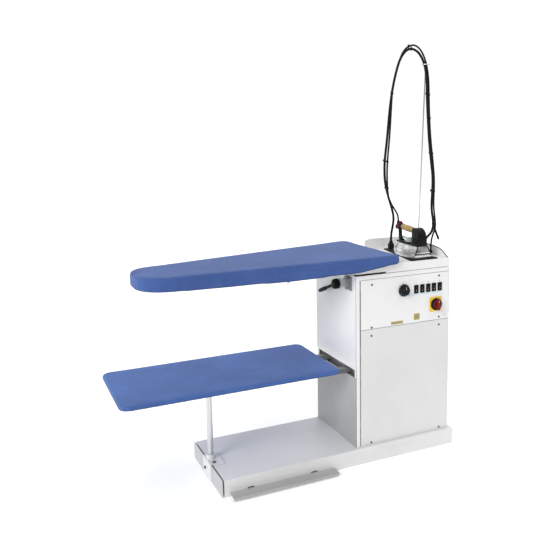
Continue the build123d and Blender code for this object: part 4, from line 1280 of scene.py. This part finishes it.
def make_main_switch():
    """The yellow plate with its screws, and the red rotary grip in its black ring."""
    low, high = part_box("main_switch_plate")
    plate = Shape().block(low, (high.x, high.y - 0.0001, high.z), 0.0024, 4)
    plate.piece("switch_plate", "yellow_plate", "root", ["main_switch_plate"])
    pose = panel_pose(*SWITCH)
    screws = Shape()
    for x in (-0.0265, 0.0265):
        for z in (-0.0265, 0.0265):
            spot = pose @ Matrix.Translation((x, z, 0.0038))
            screws.revolve(spot, [(0.0022, 0), (0.0022, 0.0006), (0.0016, 0.0010)], 20)
    screws.piece("switch_plate_screws", "nickel", "root", slot="zinc_steel")
    ring = Shape().revolve(pose, [
        (0.0262, 0.0049), (0.0270, 0.0058), (0.0270, 0.0120, 1), (0.0262, 0.0150, 1), (0.0245, 0.0168),
        (0.0215, 0.0170), (0.0205, 0.0160), (0.004, 0.0158),
    ], 160, 16, 0.0009)
    ring.piece("switch_ring", "black_plastic", "main_switch_knob", ["main_switch_knob"], slot="red_plastic")
    grip = Shape().revolve(pose, [(0.0196, 0.0150), (0.0196, 0.0172), (0.0186, 0.0182), (0.004, 0.0182)], 64)
    grip.bar(pose, (0, 0), (0.0076, 0.0238), (0.0165, 0.0318), 0.0042, 5)
    grip.piece("switch_grip", "red_plastic", "main_switch_knob")
    line = Shape().bar(pose, (0, 0.0150), (0.0008, 0.0050), (0.0312, 0.03195), 0.0002)
    line.piece("switch_line", "white_ink", "main_switch_knob", slot="red_plastic")


def make_panel_trim():
    """Plain film labels and the lock of the control panel."""
    amber = Shape()
    for x, z, half, tall in ((0.302, 0.616, 0.015, 0.014), (0.201, 0.6015, 0.030, 0.0065)):
        amber.bar(panel_pose(x, z), (0, 0), (half, tall), PRINT, 0.00015)
    amber.piece("amber_labels", "amber_film", "root", slot="yellow_plate")
    lines = Shape()
    for x, z, half, tall in (
        (0.302, 0.6250, 0.0120, 0.0008), (0.302, 0.6080, 0.0120, 0.0008), (0.302, 0.6165, 0.0075, 0.0048),
        (0.184, 0.6015, 0.0060, 0.0026), (0.201, 0.6015, 0.0060, 0.0026), (0.218, 0.6015, 0.0060, 0.0026),
    ):
        lines.bar(panel_pose(x, z), (0, 0), (half, tall), (0.0001, 0.0005))
    lines.piece("label_lines", "grey_ink", "root", slot="black_plastic")
    lock = Shape().revolve(panel_pose(0.450, 0.608), [
        (0.0055, 0), (0.0055, 0.0012), (0.0048, 0.0020), (0.0030, 0.0021), (0.0028, 0.0014), (0.001, 0.0014),
    ], 32)
    lock.piece("panel_lock", "nickel", "root", slot="zinc_steel")


# ---- trim on the cabinet and the base ----
def make_pedal_spring():
    """The coil under the pedal's arm, built once at the height of its CAD box; the real one shortens as the
    pedal goes down.
    """
    low, high, centre = node_box("pedal_spring")
    wire, turns, steps = 0.001, 2.5, 80
    radius = (high.x - low.x) / 2 - wire
    points = []
    for step in range(steps + 1):
        share = step / steps
        angle = 2 * math.pi * turns * share
        height = low.z + wire + (high.z - low.z - 2 * wire) * share
        points.append(Vector((
            centre.x + radius * math.cos(angle), centre.y + radius * math.sin(angle), height
        )))
    coil = Shape().tube(points, 0.00092, 8)
    coil = coil.piece("pedal_coil", "drawn_steel", "root", ["pedal_spring"], slot="zinc_steel")
    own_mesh(coil)


def make_screws():
    """Domed screw heads with a cross recess, one for each CAD head."""
    shape = Shape()
    radius = 0.00445
    for points in islands("panel_screws"):
        low, high = corners(points)
        size, middle = high - low, (low + high) / 2
        thin = min(range(3), key=lambda k: size[k])
        way = Vector((0, 0, 0))
        way[thin] = 1 if middle[thin] > 0 else -1
        pose = pose_of(middle - way * size[thin] / 2, way)
        shape.revolve(pose, [
            (radius, 0), (radius, 0.0008), (radius * 0.86, 0.0017), (radius * 0.55, 0.0022),
            (0.0006, 0.00235),
        ], 28)
        for turn in (0, 1):
            cross = pose @ Matrix.Rotation(math.pi / 2 * turn + 0.4, 4, "Z")
            shape.bar(cross, (0, 0), (0.0022, 0.00035), (0.0020, 0.00245))
    shape.piece("screw_heads", "screw_steel", "root", ["panel_screws"])


def make_foot_screws():
    """The two black screws that hold the post's foot, over their CAD heads."""
    shape = Shape()
    for place, way in ((cab(-0.591, 0.143, 0.0765), (0, 0, 1)), (cab(-0.6125, 0.201, 0.035), (-1, 0, 0))):
        shape.revolve(pose_of(place, way), [
            (0.0064, 0), (0.0066, 0.0008), (0.0064, 0.0038), (0.0055, 0.0046), (0.0034, 0.0048),
            (0.0032, 0.0030), (0.0006, 0.0030),
        ], 24)
    shape.piece("foot_screws", "screw_steel", "root")


def make_panel_seals():
    """Grey strips: seals in the joints round the front panels and along the front left corner, and painted
    shade along the front panels' bevelled left edge.
    """
    shape = Shape()
    # The first strip, along the front panels' left edge, is painted shade of their bevelled edge; the other
    # two are the joints between the panels.
    for x0, x1, z0, z1 in (
        (0.0168, 0.0222, 0.074, 0.8025), (0.0222, 0.4690, 0.5879, 0.5901), (0.0222, 0.4690, 0.8028, 0.8048),
    ):
        shape.block((x0, z0, -0.0010), (x1, z1, 0.0004), 0.0002, 1, panel_pose(0, 0))
    shape.block(cab(-0.0004, 0.0010, 0.074), cab(0.0006, 0.0034, 0.820), 0.0002, 1)
    shape.piece("panel_joints_and_painted_edge_shade", "joint_seal_and_painted_shade", "root", slot="black_rubber")


def make_edging():
    """The dark rubber edging pushed over the upstand's top edge."""
    right, back = CABINET_WIDTH - 0.006, CABINET_DEPTH - 0.010
    points = [cab(right, y, z) for y, z in (
        (0.0062, 0.8642), (0.0240, 0.8742), (0.0440, 0.8882), (0.0720, 0.8972),
        (0.1160, 0.9032), (0.2400, 0.9075), (back, 0.9128),
    )]
    fine = [a.lerp(b, step / 6) for a, b in zip(points, points[1:]) for step in range(6)]
    shape = Shape().tube(fine + points[-1:], 0.0021, 10)
    shape.piece("upstand_edging", "black_rubber", "root", slot="black_plastic")


def make_clamp():
    """The clamp lever: a fluted hub on its stud, and an arm with a swelling grip."""
    hub = cab(-0.004, *CLAMP)
    shape = Shape().revolve(pose_of(hub, (-1, 0, 0)), [
        (0.0150, 0.0), (0.0205, 0.0012), (0.0228, 0.0045), (0.0230, 0.0120, 1), (0.0222, 0.0190, 1),
        (0.0195, 0.0230), (0.0140, 0.0252), (0.0040, 0.0258),
    ], 120, 10, 0.0014)
    shape.tube([hub, cab(0.028, *CLAMP)], 0.005, 20)
    arm = [cab(-0.0175, *CLAMP), cab(-0.0200, 0.202, 0.7476), cab(-0.0220, 0.236, 0.734)]
    shape.tube(arm, [0.0085, 0.0066, 0.0064], 18)
    start, end = cab(-0.0217, 0.2310, 0.7360), cab(-0.0244, 0.3005, 0.7082)
    grip, radii = [], [0.0052]
    for step in range(13):
        share = step / 12
        grip.append(start.lerp(end, share))
        if 0 < step < 12:
            radii.append(0.0066 + 0.0026 * math.sin(math.pi * share * 1.02) ** 0.5)
    shape.tube(grip, radii + [0.0052], 20)
    shape.piece(
        "clamp_handle", "black_rubber", "clamp_lever", ["clamp_lever"], slot="black_plastic", angle=45
    )


def make_rod_trim():
    """A ferrule at the socket and a collar under the loop of the hose rod."""
    foot, tip = cab(0.489, 0.286, 0.640), cab(0.506, 0.252, 1.728)
    way = (tip - foot).normalized()
    shape = Shape().revolve(pose_of(foot + way * 0.096, way), [
        (0.0060, 0), (0.0066, 0.001), (0.0066, 0.010), (0.0050, 0.013), (0.0036, 0.0145),
    ], 28)
    collar = [(0.0040, 0), (0.0046, 0.001), (0.0046, 0.007), (0.0040, 0.008)]
    shape.revolve(pose_of(tip - way * 0.030, way), collar, 28)
    shape.piece("rod_ferrules", "nickel", "root", slot="stainless")


# ---- floor and light ----
def make_stage():
    """A wide pale floor under the table."""
    look = Look("pale_floor", Specular_IOR_Level=0.1, Emission_Color=(1, 1, 1, 1), Emission_Strength=0.3)
    grain = look.noise(3, 3)
    tint = look.ramp(grain, [(0.3, grey(0.82)), (0.7, grey(0.84))])
    material = look.finish(tint, look.spread(grain, 0.85, 0.95))
    bpy.ops.mesh.primitive_circle_add(vertices=96, radius=14, fill_type="NGON", location=(0, 0, -0.0004))
    floor = bpy.context.object
    floor.name = "floor"
    floor.data.materials.append(material)


def sun(name, way, strength, spread):
    """A sun that shines from one way, with its strength and its width in degrees."""
    data = bpy.data.lights.new(name, "SUN")
    data.energy = strength
    data.angle = math.radians(spread)
    light = bpy.data.objects.new(name, data)
    bpy.context.scene.collection.objects.link(light)
    light.rotation_euler = Vector(way).to_track_quat("Z", "Y").to_euler()


def make_light():
    """A lit white backdrop behind the table, a dimmer room and two soft keys from above."""
    world = bpy.data.worlds.new("studio")
    world.use_nodes = True
    tree = world.node_tree
    coordinates = tree.nodes.new("ShaderNodeTexCoord")
    facing = tree.nodes.new("ShaderNodeVectorMath")
    facing.operation = "DOT_PRODUCT"
    facing.inputs[1].default_value = (-0.05, 1.0, 0.0)
    ramp = tree.nodes.new("ShaderNodeValToRGB")
    ramp.color_ramp.elements[0].position = 0.15
    ramp.color_ramp.elements[0].color = (0.40, 0.40, 0.40, 1)
    ramp.color_ramp.elements[1].position = 0.50
    ramp.color_ramp.elements[1].color = (1, 1, 1, 1)
    tree.links.new(coordinates.outputs["Generated"], facing.inputs[0])
    tree.links.new(facing.outputs["Value"], ramp.inputs["Fac"])
    tree.links.new(ramp.outputs["Color"], tree.nodes["Background"].inputs["Color"])
    tree.nodes["Background"].inputs["Strength"].default_value = 1.02
    bpy.context.scene.world = world
    bpy.context.scene.view_settings.view_transform = "Standard"
    sun("key", (-0.76, -0.42, 0.46), 1.75, 25)
    sun("top", (0.10, -0.15, 1.0), 1.0, 70)


LOOKS = make_looks()
OWN_LOOK = {
    "board_post": "drawn_steel", "hose_rod": "drawn_steel", "iron_sole": "sole_aluminium",
    "board_column": "drawn_steel", "fan_impeller": "sole_aluminium", "gallery": "gallery_paint",
    # Painted shade: the pedal, the left lower panel and the base's end plate take darker coats that stand in
    # for the shade on them.
    "pedal": "painted_shade_pedal", "left_lower_panel": "painted_shade_left", "base_end_plate": "painted_shade_end",
    # The front lower panel takes the greyer white coat, which is painted shade.
    "front_lower_panel": "painted_shade_lower",
    # The side rail and the shelf bracket take the dark grey coat, which is partly painted shade.
    "side_rail": "painted_shade_rail", "shelf_bracket": "painted_shade_rail", "board_stop": "stop_steel",
}
for entry in frame["record"]["subparts"]:
    cad_node = NODES[entry["node"]]
    cad_node.data.materials.clear()
    cad_node.data.materials.append(LOOKS[OWN_LOOK.get(entry["node"], entry["material_slot"])])

make_camera()
make_cords()
make_stage()
make_light()
make_board_pad()
make_shelf_pad()
make_iron_shell()
make_iron_frame()
make_iron_grip()
make_iron_head()
make_iron_dial()
make_iron_boot()
make_hose_guide()
make_rest()
make_outlets()
make_thermostat()
make_rockers()
make_main_switch()
make_panel_trim()
make_pedal_spring()
make_screws()
make_foot_screws()
make_panel_seals()
make_edging()
make_clamp()
make_rod_trim()
